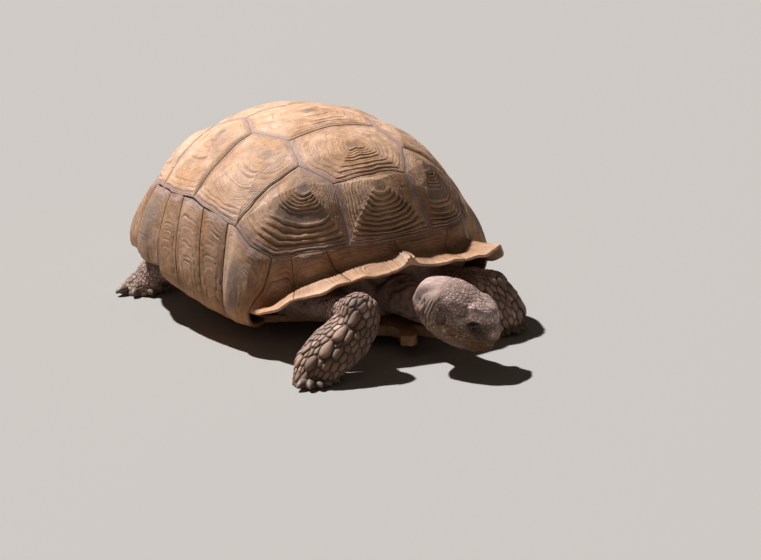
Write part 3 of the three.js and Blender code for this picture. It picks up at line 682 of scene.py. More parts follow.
costals = {
    1: {
        "half": [*marginBetween(19.3, 61.6), corner["v2c1c2"], corner["v1v2"]], "old": (0.278, -0.396),
        "faces": (0.55, -0.83), "rise": 8, "strong": 0.9, "worn": 0.2, "patch": (0.47, 0.115), "carve": 1.5,
        "rings": (0.15, 0.20, 0.25, 0.30, 0.35, 0.41, 0.585, 0.66, 0.75, 0.83, 0.90, 0.95),
    },
    2: {
        "half": [*marginBetween(61.6, 86), corner["v3c2c3"], corner["v2v3"], corner["v2c1c2"]],
        "old": (0.285, -0.195), "faces": (1, -0.25), "rise": 6, "strong": 0.5, "worn": 0.6,
        "rings": (0.14, 0.19, 0.25, 0.31, 0.38, 0.55, 0.82, 0.88, 0.94),
    },
    3: {
        "half": [*marginBetween(86, 111), corner["v4c3c4"], corner["v3v4"], corner["v3c2c3"]],
        "old": (0.30, 0.09), "faces": (1, 0), "rise": 5, "strong": 0.42, "worn": 0.75,
        "rings": (0.18, 0.3, 0.48, 0.8, 0.87, 0.935),
    },
    4: {
        "half": [*marginBetween(111, 152), corner["v4v5"], corner["v4c3c4"]], "old": (0.30, 0.36),
        "faces": (1, 0.4), "rise": 7, "strong": 0.5, "worn": 0.6,
        "rings": (0.17, 0.26, 0.36, 0.46, 0.6, 0.74, 0.84, 0.92),
    },
}


def seamKind(start, end):
    inner = [p for p in (start, end) if math.hypot(*p) < 0.6]
    if not inner:
        return "margin"
    if len(inner) == 1:
        isVertebral = any(math.dist((abs(inner[0][0]), inner[0][1]), corner[k]) < 1e-6
                          for k in ("v1v2", "v4v5"))
        return "vertebral" if isVertebral else "costal"
    isAcross = abs(start[1] - end[1]) < 1e-6 and abs(start[0] + end[0]) < 1e-6
    return "crossing" if isAcross else "vertebral"


def outlineSpots(outline, count):  # evenly along the outline, its corners kept, with each edge's number
    outline = np.array(outline, float)
    ends = np.roll(outline, -1, axis=0)
    lengths = lengthOf(ends - outline)
    shares = np.maximum(1, np.round(lengths / lengths.sum() * count)).astype(int)
    spots = np.concatenate([
        start + (end - start) * (np.arange(n) / n)[:, None] for start, end, n in zip(outline, ends, shares)
    ])
    return spots, np.repeat(np.arange(len(outline)), shares)


def blurred(values, reach):  # averaged with its neighbours round the closed outline
    total = sum(np.roll(values, k, axis=0) for k in range(-reach, reach + 1))
    return total / (2 * reach + 1)


def alongSeam(kinds, edges, label):
    return blurred(np.array([seamLooks[kind][label] for kind in kinds])[edges].astype(float), 3)


# the groove at a seam and the fine lines beside it, cut into a height that is rounded off towards the seam
def cutSeam(height, toSeam, kindValues, rounding, linesEnd):
    look = domeLook
    pitch = look["bundlePitch"]
    comb = bell(((toSeam + pitch / 2) % pitch - pitch / 2) / look["bundleWidth"])
    comb = comb * (toSeam > look["bundleStart"]) * (1 - smooth((toSeam - linesEnd) / look["bundleFade"]))
    groove = bell(toSeam / kindValues["width"])
    height = height * smooth(toSeam / rounding + 0.2) - kindValues["depth"] * groove
    return height - 0.5 * kindValues["bundle"] * comb


def seamMasks(toSeam, kindValues):
    return {
        "band": kindValues["band"] * plateau(toSeam / kindValues["bandWidth"]),
        "bundle": kindValues["bundle"] + 0 * toSeam,
        "seamDark": kindValues["seamDark"] + 0 * toSeam,
        "toSeam": toSeam,
    }


# 0 at the oldest part to 1 at the seam in steps, and the dark foot and the raised lip of each step; the
# foot's darkness is partly painted step shadow
def terraces(share, rings, rng, span):
    weights = rng.uniform(0.55, 1.3, len(rings))
    widths = rng.uniform(1.5, 2.8, len(rings)) / span
    fall, foot, lip = 0, 0, 0
    for ring, weight, width in zip(rings, weights, widths):
        fall = fall + weight * smooth((share - ring) / width + 0.5)
        foot = np.maximum(foot, min(weight, 1.1) * bell((share - ring - 0.35 * width) / (0.5 * width)))
        lip = lip + weight * bell((share - ring + 0.9 * width) / (0.9 * width))
    return fall / weights.sum(), foot, lip


def domeScute(name, scute, side, seed):
    look = domeLook
    rng = np.random.default_rng(seed)
    outline = scute["outline"]
    if signedArea(outline) < 0:
        outline = outline[::-1]
    kinds = [seamKind(p, q) for p, q in zip(outline, [*outline[1:], outline[0]])]
    old = np.array(scute["old"], float) * (side, 1)
    faceWay = unit(np.array(scute["faces"], float) * (side, 1))
    border, edges = outlineSpots(outline, look["spokes"])
    spokes, steps = len(border), look["steps"]
    corners = np.array(outline, float)
    edgeWay = unit(np.roll(corners, -1, axis=0) - corners)
    edgeOut = beside(edgeWay[:, 1], -edgeWay[:, 0])
    sector = 0.10 + 0.90 * smooth((edgeOut @ faceWay - 0.25) / 0.55)
    sector = blurred(sector[edges], 2)[:, None] * scute["strong"]
    share = np.arange(1, steps + 1) / steps
    share = 0.55 * share + 0.45 * (1 - (1 - share) ** 1.7)  # rows stand closer near the seam
    inset = 1 - look["seamInset"] / lengthOf(border - old)  # leaves a thin gap between neighbours
    uv = seamWander(old + (border - old)[:, None] * (share[None] * inset[:, None])[..., None])
    share = np.broadcast_to(share, (spokes, steps))
    base, normal = shellPoint(uv), shellNormal(uv)
    span = lengthOf(base[:, -1] - shellPoint(old[None])[0])[:, None]
    square = np.abs((unit(border - old) * edgeOut[edges]).sum(1))
    toSeam = (1 - share) * blurred(span[:, 0] * square, 2)[:, None]
    kindValues = {label: alongSeam(kinds, edges, label)[:, None] for label in seamLooks["margin"]}
    patch = noise(base, 36, seed + 1)
    faceAxes = np.array([faceWay, [-faceWay[1], faceWay[0]]])
    turn = np.arctan2(*(unit(border - old) @ faceAxes.T).T[::-1])[:, None]
    wave = scute.get("wave", 0.0) * np.cos(3.2 * turn) * bell((share - 0.35) / 0.28)
    reach = lengthOf(border - old)
    rounded = share * (reach / blurred(reach, look["ringRound"]))[:, None]
    wander = rounded + (share - rounded) * smooth(share * 1.5 - 0.5)
    wander = wander + wave + 0.022 * noise(base, 34, seed + 2) * scute["strong"]
    wander = wander + 0.007 * noise(base, 9, seed + 3)
    fall, foot, lip = terraces(wander, scute["rings"], rng, float(span.mean()))
    terraced = np.clip(sector * (0.85 + 0.6 * patch), 0, 1)
    strength = 0.75 + 0.55 * noise(base, 26, seed + 6)
    dome = smooth(share) ** 1.1
    height = scute["rise"] * (1 - (dome + (fall - dome) * terraced))
    height = height + terraced * strength * scute.get("carve", 1.0) * (0.9 * lip - 1.2 * foot)
    height = height + 0.14 * sector.max() * (lip - foot) * (1 - terraced)
    height = height - (1 - scute["worn"]) * look["fineDepth"] * noise(
        beside(wander * span / 2.2, base[..., 0] / 60, base[..., 1] / 60), 1.0, seed + 8)
    smoothPatch = 0
    if "patch" in scute:  # a worn smooth stretch between the tight rings and the wide ones
        at, width = scute["patch"]
        smoothPatch = smooth((sector - 0.3) / 0.4) * plateau((share - at) / width)
    roughness = noise(base, 14, seed + 4) * 0.45 + noise(base, 5, seed + 5) * 0.22
    height = height + roughness * (1 - 0.6 * smoothPatch)
    height = cutSeam(height, toSeam, kindValues, 12, 5)
    top = base + normal * height[..., None]
    middle = shellPoint(old[None])[0] + shellNormal(old[None])[0] * scute["rise"]
    under = base[:, -1] - normal[:, -1] * shell["plate"]
    pit = shellPoint(old[None])[0] - shellNormal(old[None])[0] * shell["plate"]
    places = np.concatenate([top.reshape(-1, 3), under, [middle, pit]])
    underAt, middleAt, pitAt = spokes * steps, spokes * (steps + 1), spokes * (steps + 1) + 1
    ring = np.arange(spokes)
    after = (ring + 1) % spokes
    quads = gridFaces(spokes, steps, isClosed=True)
    wall = beside(ring * steps + steps - 1, underAt + ring, underAt + after, after * steps + steps - 1)
    caps = np.concatenate([capFaces(middleAt, ring * steps), capFaces(pitAt, underAt + ring)[:, [0, 2, 1]]])
    mesh = makeMesh(name, toFrame(places), quads, wall, caps)
    # the ring mask paints the foot of each step dark, partly as painted step shadow, most in the terraced
    # sector
    ringMask = np.clip(foot * (0.10 + 0.9 * terraced * strength) * (1 - 0.35 * scute["worn"]), 0, 1)
    ringMask = ringMask * (1 - smoothPatch)
    isOld = plateau(share / 0.14)
    masks = {
        "ring": ringMask, "growth": wander * span / look["growthPitch"],
        "lined": (1 - 0.75 * scute["worn"]) * smooth(share * 3) * (1 - smoothPatch),
        # rough browns the terraced sector, partly as painted shade where it faces away from the light, as on
        # the front scutes
        "rough": np.clip(0.25 + 0.6 * terraced + 0.35 * patch - 0.6 * scute["worn"], 0, 1)
            * (1 - smoothPatch),
        "low": smooth((205 - base[..., 2]) / 95) * (0.75 + 0.35 * patch),
        "old": np.clip(0.75 * isOld + 0.9 * smoothPatch + 0.5 * np.clip(patch - 0.25, 0, 1), 0, 1),
        **seamMasks(toSeam, kindValues),
    }
    for label, values in masks.items():
        values = np.broadcast_to(values, share.shape)
        setMask(mesh, label, np.concatenate([values.ravel(), values[:, -1], [values[:, 0].mean(), 0]]))
    return finishPiece(makeObject(name + "_scute", mesh), shellHorn, "carapace", name)


def signedArea(outline):
    x, y = np.array(outline, float).T
    return 0.5 * np.sum(x * np.roll(y, -1) - np.roll(x, -1) * y)


def mirrored(points):
    return [(-p[0], p[1]) for p in points]


def makeDome():
    for i, (name, scute) in enumerate(vertebrals.items()):
        otherSide = [p for p in reversed(mirrored(scute["half"])) if abs(p[0]) > 1e-9]
        domeScute(name, {**scute, "outline": [*scute["half"], *otherSide]}, 1, 100 + 20 * i)
    for i, scute in costals.items():
        domeScute(f"costal_left_{i}", {**scute, "outline": scute["half"]}, 1, 300 + 20 * i)
        domeScute(f"costal_right_{i}", {**scute, "outline": mirrored(scute["half"])}, -1, 500 + 20 * i)


makeDome()
say("dome scutes grown")


# marginal scutes: a grid from the top seam over the rim, and on under the bridge

marginLook = {
    "step": 1.65, "lipRadius": 2.8, "rollTurns": (60, 25, -25, -60), "lineDepth": 0.8, "lines": 7,
    "growthPitch": 1.8, "lipWave": 3.2, "lipWaveLength": 23, "scallop": 4.0, "crest": 14.0,
}
# between the seams each plate bulges: height, where across and down it is highest, how sharply it falls off
marginBulge = {
    0: (1.5, 0.5, 0.3, 2.4), 1: (1.5, 0.5, 0.3, 2.4), 2: (1.5, 0.5, 0.3, 2.4), 3: (11, 0.70, 0.62, 2.2),
    4: (1.4, 0.5, 0.5, 4), 5: (1.0, 0.5, 0.5, 4), 6: (1.4, 0.5, 0.5, 4), 7: (13, 0.45, 0.50, 2.2),
    8: (6, 0.5, 0.6, 2.6), 9: (5, 0.5, 0.6, 2.6), 10: (4, 0.5, 0.6, 2.6), 11: (4, 0.5, 0.5, 2.6),
}
# where across and down a plate is greyest, and how grey
greyPlates = {3: (0.66, 0.66, 0.9), 7: (0.40, 0.45, 1.0), 4: (0.4, 0.35, 0.35), 5: (0.5, 0.4, 0.3)}


def marginGrid(side, number):
    look = marginLook
    corners = np.array(marginBetween(marginSeams[number][0], marginSeams[number + 1][0]))
    lengths = np.concatenate([[0], np.cumsum(lengthOf(np.diff(corners, axis=0)))])
    fromRim, toRim = marginSeams[number][1], marginSeams[number + 1][1]
    isBridge = fromRim in bridgeEnds and toRim in bridgeEnds
    rimEnds = shellPoint(np.stack([around(fromRim, 1.0), around(toRim, 1.0)]))
    width = float(np.linalg.norm(rimEnds[1] - rimEnds[0]))
    part = np.linspace(0, 1, int(np.clip(width / look["step"], 26, 84)))
    top = beside(*[np.interp(part * lengths[-1], lengths, corners[:, k]) for k in (0, 1)])
    angle = fromRim + (toRim - fromRim) * part
    rim = around(angle, 1.0)
    drop = float(np.linalg.norm(shellPoint(top).mean(0) - shellPoint(rim).mean(0)))
    down = np.linspace(0, 1, int(np.clip(drop / look["step"], 26, 70)))
    if not isBridge:
        down = down * (1 - look["lipRadius"] / drop)
    uv = top[:, None] + (rim - top)[:, None] * down[None, :, None]
    downs = np.broadcast_to(down, (len(part), len(down)))
    if isBridge:  # on under the flank, to where it meets the plastron
        ends = np.interp(part, [0, 1], [bridgeEnds[fromRim], bridgeEnds[toRim]])
        belly = np.linspace(0, 1, 23)[1:]
        more = 1 + (ends[:, None] - 1) * belly[None]
        below = around(np.broadcast_to(angle[:, None], more.shape), more)
        uv = np.concatenate([uv, below], 1)
        downs = np.concatenate([downs, 1 + (more - 1) * 1.3], 1)
    uv = seamWander(uv) * (side, 1.0)
    return uv, np.broadcast_to(part[:, None], downs.shape), downs, width, drop, isBridge


def marginPlate(name, side, number, seed):
    look = marginLook
    rng = np.random.default_rng(seed)
    uv, across, down, width, drop, isBridge = marginGrid(side, number)
    base, normal = shellPoint(uv), shellNormal(uv)
    columns, rows = across.shape
    rimAngle = np.degrees(np.arctan2(np.abs(uv[..., 0]), -uv[..., 1]))
    isFront = 1 - smooth((rimAngle - 42) / 12)
    toSide = np.minimum(across, 1 - across) * width * (0.75 + 0.25 * np.minimum(down, 1))
    toTop = lengthOf(base - base[:, :1])
    toSeam = np.minimum(toSide, toTop)
    nearTop = smooth((toSide - toTop) / 3 + 0.5)
    kindValues = {
        label: seamLooks["margin"][label] * nearTop + seamLooks["side"][label] * (1 - nearTop)
        for label in seamLooks["margin"]
    }
    # growth runs level with the top seam and down along both sides, round an oldest part near the rim
    rise, highAcross, highDown, sharpness = marginBulge[number]
    sideways = np.where(across > highAcross, (across - highAcross) / (1 - highAcross),
                        (highAcross - across) / highAcross)
    upwards = np.where(down < 0.95, (0.95 - down) / 0.95, (down - 0.95) * 0.2)
    share = ((0.9 * sideways) ** 6 + upwards ** 6) ** (1 / 6)
    wander = share + 0.03 * noise(base, 30, seed + 1) + 0.012 * noise(base, 9, seed + 2)
    gaps = rng.uniform(0.5, 1.8, look["lines"] + 1)
    rings = 0.22 + 0.78 * np.cumsum(gaps)[:-1] / gaps.sum()
    _, foot, lip = terraces(wander, rings, rng, max(drop, 60))
    broken = np.clip(0.45 + 0.3 * (4 <= number <= 6) + 0.9 * noise(base, 22, seed + 3), 0, 1)
    falling = np.exp(-(np.abs(sideways) ** sharpness) * 2.2)
    falling = falling * np.exp(-((np.abs(down - highDown) / 0.62) ** 2.4))
    height = rise * (falling - 0.12) * smooth(toSeam / 14)
    isFlank = 1.0 * (4 <= number <= 6)
    height = height + broken * (1 + 0.8 * isFlank) * (0.55 * lip - look["lineDepth"] * foot)
    height = height + 0.5 * noise(base, 17, seed + 4) + 0.22 * noise(base, 5, seed + 5)
    height = cutSeam(height, toSeam, kindValues, 6, 7)
    toRim = smooth((down - 0.72) / 0.28)
    outward = unit(np.gradient(base, axis=1))
    if not isBridge:  # the free rim waves, steps at its seams and stands out between them
        wave = noise(beside(rimAngle * 5.2, 0 * down, 0 * down), look["lipWaveLength"], 71)
        base = base + np.array([0, 0, 1.0]) * (look["lipWave"] * wave * toRim * isFront)[..., None]
        scallop = look["scallop"] * (np.sin(np.pi * across) ** 0.7 - 0.8) + 2.0 * noise(base, 16, seed + 8)
        base = base + outward * (np.minimum(scallop, 1.0) * toRim)[..., None]
    if number == 0:  # the two front plates meet in a small upturned crest
        crest = bell(across * width / 9) * smooth((down - 0.3) / 0.6)
        height = height + look["crest"] * crest * (0.75 + 0.25 * np.cos(across * width * 1.3))
    outer = base + normal * height[..., None]
    thickness = np.interp(down, [0, 1, 1.15, 1.6],
                          [shell["plate"], shell["lip"], shell["lip"], shell["plate"]])
    inner = base - normal * thickness[..., None]
    sideStep = unit(np.gradient(base, axis=0))
    nudge = (np.where(across == 0, 1, 0) - np.where(across == 1, 1, 0))[..., None] * shell["seamGap"] / 2
    outer, inner = outer + sideStep * nudge, inner + sideStep * nudge
    if number in (0, 11):  # the plates on the midline meet their mirror image there
        end = 0 if number == 0 else -1
        for layer in (outer, inner):
            layer[end, :, 0] = side * (0.18 if number == 0 else -0.05)
    roll = []
    if not isBridge:
        middle, half = (outer[:, -1] + inner[:, -1]) / 2, (outer[:, -1] - inner[:, -1]) / 2
        reach = look["lipRadius"] * outward[:, -1]
        roll = [middle + half * math.sin(math.radians(t)) + reach * math.cos(math.radians(t))
                for t in look["rollTurns"]]
        roll = [np.stack(roll, 1)]
    sheet = np.concatenate([outer, *roll, inner[:, ::-1]], 1)
    tall = sheet.shape[1]
    level = np.arange(columns - 1)
    top = beside((level + 1) * tall, level * tall, level * tall + tall - 1, (level + 1) * tall + tall - 1)
    i = np.arange(tall // 2 - 1)
    wall = beside(i, i + 1, tall - 2 - i, tall - 1 - i)
    blocks = [gridFaces(columns, tall), top, wall[:, ::-1], wall + (columns - 1) * tall]
    if side < 0:
        blocks = [block[:, ::-1] for block in blocks]
    mesh = makeMesh(name, toFrame(sheet.reshape(-1, 3)), *blocks)
    greyAcross, greyDown, greyed = greyPlates.get(number, (0.5, 0.5, 0.12))
    isGrey = greyed * plateau((across - greyAcross) / 0.30) * plateau((down - greyDown) / 0.42)
    patch = noise(base, 34, seed + 9)
    masks = {
        # ring paints the foot of each growth step dark, partly as painted step shadow; rough is raised as
        # painted shade on the front wall under the lip and on the flank plates, numbers 4 to 8
        "ring": np.clip(foot * broken * (1 - 0.8 * isGrey), 0, 1) * (0.8 + 0.2 * isFlank)
            * (1 - 0.6 * isFront * toRim),
        "lined": (0.6 - 0.5 * isGrey) * (1 - 0.85 * isFront * smooth((down - 0.4) / 0.3))
            * (1 - 0.4 * isFlank),
        "growth": wander * max(drop, 60) / look["growthPitch"],
        "rough": np.clip(0.35 + 0.5 * patch + 0.7 * isFront * (1 - toRim) + 1.0 * (4 <= number <= 8)
                         - isGrey, 0, 1.45),
        "low": np.clip(smooth((118 - base[..., 2]) / 60) + 0.25 * isFront, 0, 1) * (1 - 0.85 * isGrey)
            * (1 - isFront * toRim),
        "old": isGrey, **seamMasks(toSeam, kindValues),
    }
    masks["band"] = masks["band"] * (1 - 0.8 * isFront)
    for label, values in masks.items():
        values = np.broadcast_to(values, across.shape)
        rest = np.broadcast_to(values[:, -1:] if label in ("rough", "low", "growth") else 0,
                               (columns, tall - rows))
        if label == "toSeam":
            rest = np.full((columns, tall - rows), 20.0)
        setMask(mesh, label, np.concatenate([values, rest], 1))
    return mesh


def makeMargins():
    for number in range(11):
        for side, word in ((1, "left"), (-1, "right")):
            name = f"marginal_{word}_{number + 1}"
            mesh = marginPlate(name, side, number, 700 + 40 * number + 11 * (side > 0))
            finishPiece(makeObject(name + "_scute", mesh), shellHorn, "carapace", name)
    halves = [makeObject(f"tailScute{side}", marginPlate("tailScute", side, 11, 1300 + side))
              for side in (1, -1)]
    finishPiece(joinedAs("supracaudal_scute", halves), shellHorn, "carapace", "supracaudal")


makeMargins()
say("marginal scutes grown")


# plastron: copies of the plates with rounded edges

plastronWords = ("gular", "humeral", "pectoral", "abdominal", "femoral", "anal")
plastronLook = {"edge": 0.0055, "gularEdge": 0.0075, "segments": 4, "edgeAngle": 40, "sharpAngle": 35}
plastronMasks = {"ring": 0, "lined": 0.3, "rough": 0.2, "low": 0.3, "old": 0, "toSeam": 30, "growth": 0}


def makePlastron():
    for word in plastronWords:
        node = f"plastron_{word}"
        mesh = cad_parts[node].data.copy()
        mesh.materials.clear()
        plate = makeObject(node + "_plate", mesh)
        weld = plate.modifiers.new("weld", "WELD")
        weld.merge_threshold = 1e-5
        bevel = plate.modifiers.new("bevel", "BEVEL")
        bevel.width = plastronLook["gularEdge" if word == "gular" else "edge"]
        bevel.segments, bevel.limit_method = plastronLook["segments"], "ANGLE"
        bevel.angle_limit = math.radians(plastronLook["edgeAngle"])
        result = applied(plate)
        result.shade_smooth()
        result.set_sharp_from_angle(angle=math.radians(plastronLook["sharpAngle"]))
        count = len(result.vertices)
        for label, value in plastronMasks.items():
            setMask(result, label, np.full(count, value))
        finishPiece(plate, plastronHorn, "plastron", node)


makePlastron()
say("plastron plates rounded")


# the soft body: one skin over trunk, neck, head, legs and tail (millimetres, before standAt)

fleshNodes = [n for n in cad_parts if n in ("trunk", "neck", "head", "lower_jaw", "tail")
              or n.endswith(("_upper_leg", "_foot"))]

head = {
    "centre": (14, -485, 83), "yawLeft": 40, "pitchDown": 24, "squareness": (2.9, 2.2), "coat": 1.3,
    # forward, half width, reach up, reach down, from the back of the head to the snout
    "sections": [
        (-84, 30, 30, 6), (-76, 38, 36, 16), (-68, 43, 40.5, 26), (-60, 46, 44, 33), (-50, 48, 48, 40),
        (-30, 51, 53, 46), (-8, 50, 52, 49), (8, 47, 47, 48.5), (20, 43, 45, 47), (34, 37, 43.5, 45),
        (43, 32, 42, 43), (50, 27, 38, 41), (56, 21, 23, 38), (61, 16, 12, 33), (65, 11, 4, 26),
    ],
}
limbs = {
    "fore_right": {"root": (-104, -232, 68), "joint": (-134, -400, 96), "foot": (-235, -423, 0), "turn": -8},
    "fore_left": {"root": (108, -228, 76), "joint": (142, -336, 84), "foot": (164, -356, 0), "turn": 12,
                  "below": [(44, 26), (52, 34), (62, 44), (64, 46), (37, 35)], "kneeRise": 16},
    "hind_right": {"root": (-104, 140, 92), "joint": (-160, 182, 80), "foot": (-224, 220, 0), "turn": -24},
    "hind_left": {"root": (104, 128, 92), "joint": (160, 156, 80), "foot": (208, 150, 0), "turn": 18},
}
foreLeg = {
    "above": [(43, 24), (33, 24), (24, 27)], "below": [(31, 28), (38, 38), (60, 44), (64, 46), (37, 35)],
    "kneeRise": 29, "coat": 4.2,
}
hindLeg = {
    "above": [(50, 44), (48, 40), (44, 38)], "below": [(34, 34), (43, 43), (44, 45), (42, 45), (44, 47)],
    "kneeRise": 12, "coat": 2.4,
}
neckPlaces = [(0, -238, 88), (4, -318, 80), (13, -375, 73), (17, -425, 73), (14, -471, 84)]
neckHalves = [(50, 36), (39, 31), (31, 28), (31, 30), (43, 43)]
tailPlaces = [(0, 205, 102), (0, 262, 96), (4, 318, 70), (10, 352, 44)]
tailHalves = [(27, 27), (27, 27), (19, 19), (7, 7)]
trunkLook = {"inset": 20, "socket": 0.87, "floorHeight": 39.4, "floorHalfWidth": 190, "front": 286,
             "back": 252}
skinLook = {"voxel": 2.95, "smoothing": 7, "sole": 2.2, "hiddenShare": 0.05}

yaw, pitch = math.radians(head["yawLeft"]), math.radians(head["pitchDown"])
headForward = np.array([math.sin(yaw) * math.cos(pitch), -math.cos(yaw) * math.cos(pitch), -math.sin(pitch)])
headLeft = np.array([math.cos(yaw), math.sin(yaw), 0])
headUp = np.cross(headForward, headLeft)
headAxes = np.stack([headForward, headLeft, headUp])
headCentre = np.array(head["centre"], float)


def inHead(spots):  # head coordinates (forward, left, up) to places
    return headCentre + np.asarray(spots, float) @ headAxes


def toHead(places):
    return (places - headCentre) @ headAxes.T


def headFold(places):  # head coordinates with both sides alike
    return toHead(places) * (1, 0, 1) + np.abs(toHead(places)[:, 1:2]) * (0, 1, 0)


def curvePlaces(places, shares):  # a smooth curve through the places
    places = np.array(places, float)
    padded = np.concatenate([[2 * places[0] - places[1]], places, [2 * places[-1] - places[-2]]])
    made = []
    for share in shares:
        spot = share * (len(places) - 1)
        low = min(int(spot), len(places) - 2)
        part = spot - low
        p0, p1, p2, p3 = padded[low:low + 4]
        d0, d1, d2 = (max(np.linalg.norm(b - a) ** 0.5, 1e-4) for a, b in ((p0, p1), (p1, p2), (p2, p3)))
        t1 = ((p1 - p0) / d0 - (p2 - p0) / (d0 + d1) + (p2 - p1) / d1) * d1
        t2 = ((p2 - p1) / d1 - (p3 - p1) / (d1 + d2) + (p3 - p2) / d2) * d1
        made.append(p1 + t1 * part + (3 * (p2 - p1) - 2 * t1 - t2) * part ** 2
                    + (2 * (p1 - p2) + t1 + t2) * part ** 3)
    return np.array(made)


def loftMesh(rings, start, end):
    rings = np.array(rings)
    count, sides = rings.shape[:2]
    places = np.concatenate([rings.transpose(1, 0, 2).reshape(-1, 3), [start, end]])
    first = np.arange(sides) * count
    caps = np.concatenate([capFaces(sides * count, first),
                           capFaces(sides * count + 1, first + count - 1)[:, [0, 2, 1]]])
    return makeMesh("loft", places / 1000, gridFaces(sides, count, isClosed=True), caps)


def flesh(places, halves, coat, ahead=None, steps=26, sides=36):
    shares = np.linspace(0, 1, steps + 1)
    centres = curvePlaces(places, shares)
    sizes = np.array([np.interp(shares * (len(halves) - 1), range(len(halves)), [h[k] for h in halves])
                      for k in (0, 1)]).T
    nearEnd = shares if ahead is not None else np.minimum(shares, 1 - shares)
    sizes = (sizes - coat) * (0.62 + 0.38 * smooth(nearEnd * 6 + 0.2))[:, None]
    step = 1e-3
    tangents = unit(curvePlaces(places, np.minimum(shares + step, 1))
                    - curvePlaces(places, np.maximum(shares - step, 0)))
    if ahead is not None:  # a standing limb has level sections and a flat sole
        tangents = np.tile([0.0, 0, -1], (len(shares), 1))
    across = unit(np.cross(tangents, ahead if ahead is not None else (0, 0, 1)))
    along = unit(np.cross(across, tangents))
    angles = roundTurns(sides)
    rings = centres[:, None] + across[:, None] * (sizes[:, :1] * np.cos(angles))[..., None] \
        + along[:, None] * (sizes[:, 1:] * np.sin(angles))[..., None]
    reach = 0.22 * halves[0][1]
    last = centres[-1] + (tangents[-1] * reach if ahead is None else 0)
    return loftMesh(rings, centres[0] - tangents[0] * reach, last)


def limbShape(name):
    limb = limbs[name]
    size = {**(foreLeg if name.startswith("fore") else hindLeg), **limb}
    root, joint, foot = (np.array(limb[k], float) for k in ("root", "joint", "foot"))
    turn = math.radians(limb["turn"])
    between = [joint + (foot - joint) * t for t in (0.3, 0.6)]
    return {
        "ahead": np.array([math.sin(turn), -math.cos(turn), 0]), "size": size, "foot": foot, "joint": joint,
        "below": [joint + (0, 0, size["kneeRise"]), joint, *between, foot],
        "above": [root, (root + joint) / 2, joint],
    }


def headMesh():
    table = np.array(head["sections"], float)
    ahead = np.linspace(table[0, 0], table[-1, 0], 49)
    rows = beside(ahead, *(np.interp(ahead, table[:, 0], table[:, k]) for k in (1, 2, 3)))
    for _ in range(3):
        rows[1:-1] = (rows[:-2] + rows[1:-1] + rows[2:]) / 3
    angles = -roundTurns(56)
    c, s = np.cos(angles), np.sin(angles)
    power = 2 / np.where(s > 0, *head["squareness"])
    rings = []
    for ahead, half, above, below in rows:
        wide = (half - head["coat"]) * np.sign(c) * np.abs(c) ** power
        tall = (np.where(s > 0, above, below) - head["coat"]) * np.sign(s) * np.abs(s) ** power
        rings.append(inHead(beside(np.full(len(c), ahead - 0.6), wide, tall)))
    return loftMesh(rings, inHead((-87, 0, 12)), inHead((65, 0, -10)))


def trunkMesh():
    look = trunkLook
    spokes = []
    for angle in np.arange(0, 360, 6):
        fromFront = min(angle, 360 - angle)
        window = smooth((fromFront - 47) / 9) * smooth((101 - fromFront) / 12)
        rows = np.linspace(0.04, 1, 16) * (look["socket"] + (1.44 - look["socket"]) * window)
        uv = around(np.full(len(rows), float(angle)), rows)
        line = shellPoint(uv, False) - shellNormal(uv, False) * look["inset"]
        line[:, 2] = np.maximum(line[:, 2], look["floorHeight"] + 3)
        across, along = around(float(angle), 1.0)
        floor = np.array([look["floorHalfWidth"] * across,
                          (look["front"] if along < 0 else look["back"]) * along,
                          look["floorHeight"]])
        waist = [line[-1] * (1 - t) + floor * t for t in (0.33, 0.67)]
        spokes.append(np.concatenate([line, waist, [floor]]))
    spokes = np.array(spokes).transpose(1, 0, 2)
    top, bottom = spokes[0].mean(0), spokes[-1].mean(0)
    return loftMesh(spokes, top, bottom)


def parts():  # every axis of the body, for telling which part a place on the skin belongs to
    axes = {"neck": (curvePlaces(neckPlaces, np.linspace(0, 1, 30)), 50),
            "tail": (curvePlaces(tailPlaces, np.linspace(0, 1, 24)), 20)}
    for name in limbs:
        shape = limbShape(name)
        axes[name] = (curvePlaces(shape["below"], np.linspace(0, 1, 30)), 46)
        axes[name + "_upper"] = (curvePlaces(shape["above"], np.linspace(0, 1, 20)), 36)
    axes["head"] = (inHead(beside(np.linspace(-50, 48, 24), np.zeros(24), np.zeros(24))), 48)
    return axes


bodyAxes = parts()
partNames = list(bodyAxes)


# the nearest part's number, the way along it (mm) and round it (radians)
def partOf(places):
    best = np.full(len(places), 1e9)
    which = np.zeros(len(places), int)
    along, angle = np.zeros(len(places)), np.zeros(len(places))
    for k, name in enumerate(partNames):
        line, size = bodyAxes[name]
        lengths = np.concatenate([[0], np.cumsum(lengthOf(np.diff(line, axis=0)))])
        stops = line[::2]
        gaps = (places ** 2).sum(1)[:, None] - 2 * places @ stops.T + (stops ** 2).sum(1)
        nearest = np.argmin(gaps, 1) * 2
        ratio = np.sqrt(np.maximum(gaps.min(1), 0)) / size
        way = unit(line[np.minimum(nearest + 1, len(line) - 1)] - line[np.maximum(nearest - 1, 0)])
        offset = places - line[nearest]
        reach = (offset * way).sum(1)
        side = offset - way * reach[:, None]
        up = unit(np.cross(way, np.cross(np.tile([0.0, 0, 1], (len(way), 1)) + [0.01, -0.02, 0], way)))
        isBetter = ratio < best
        best = np.where(isBetter, ratio, best)
        which = np.where(isBetter, k, which)
        along = np.where(isBetter, lengths[nearest] + reach, along)
        angle = np.where(isBetter, np.arctan2((side * up).sum(1), (side * np.cross(way, up)).sum(1)), angle)
    return which, along, angle


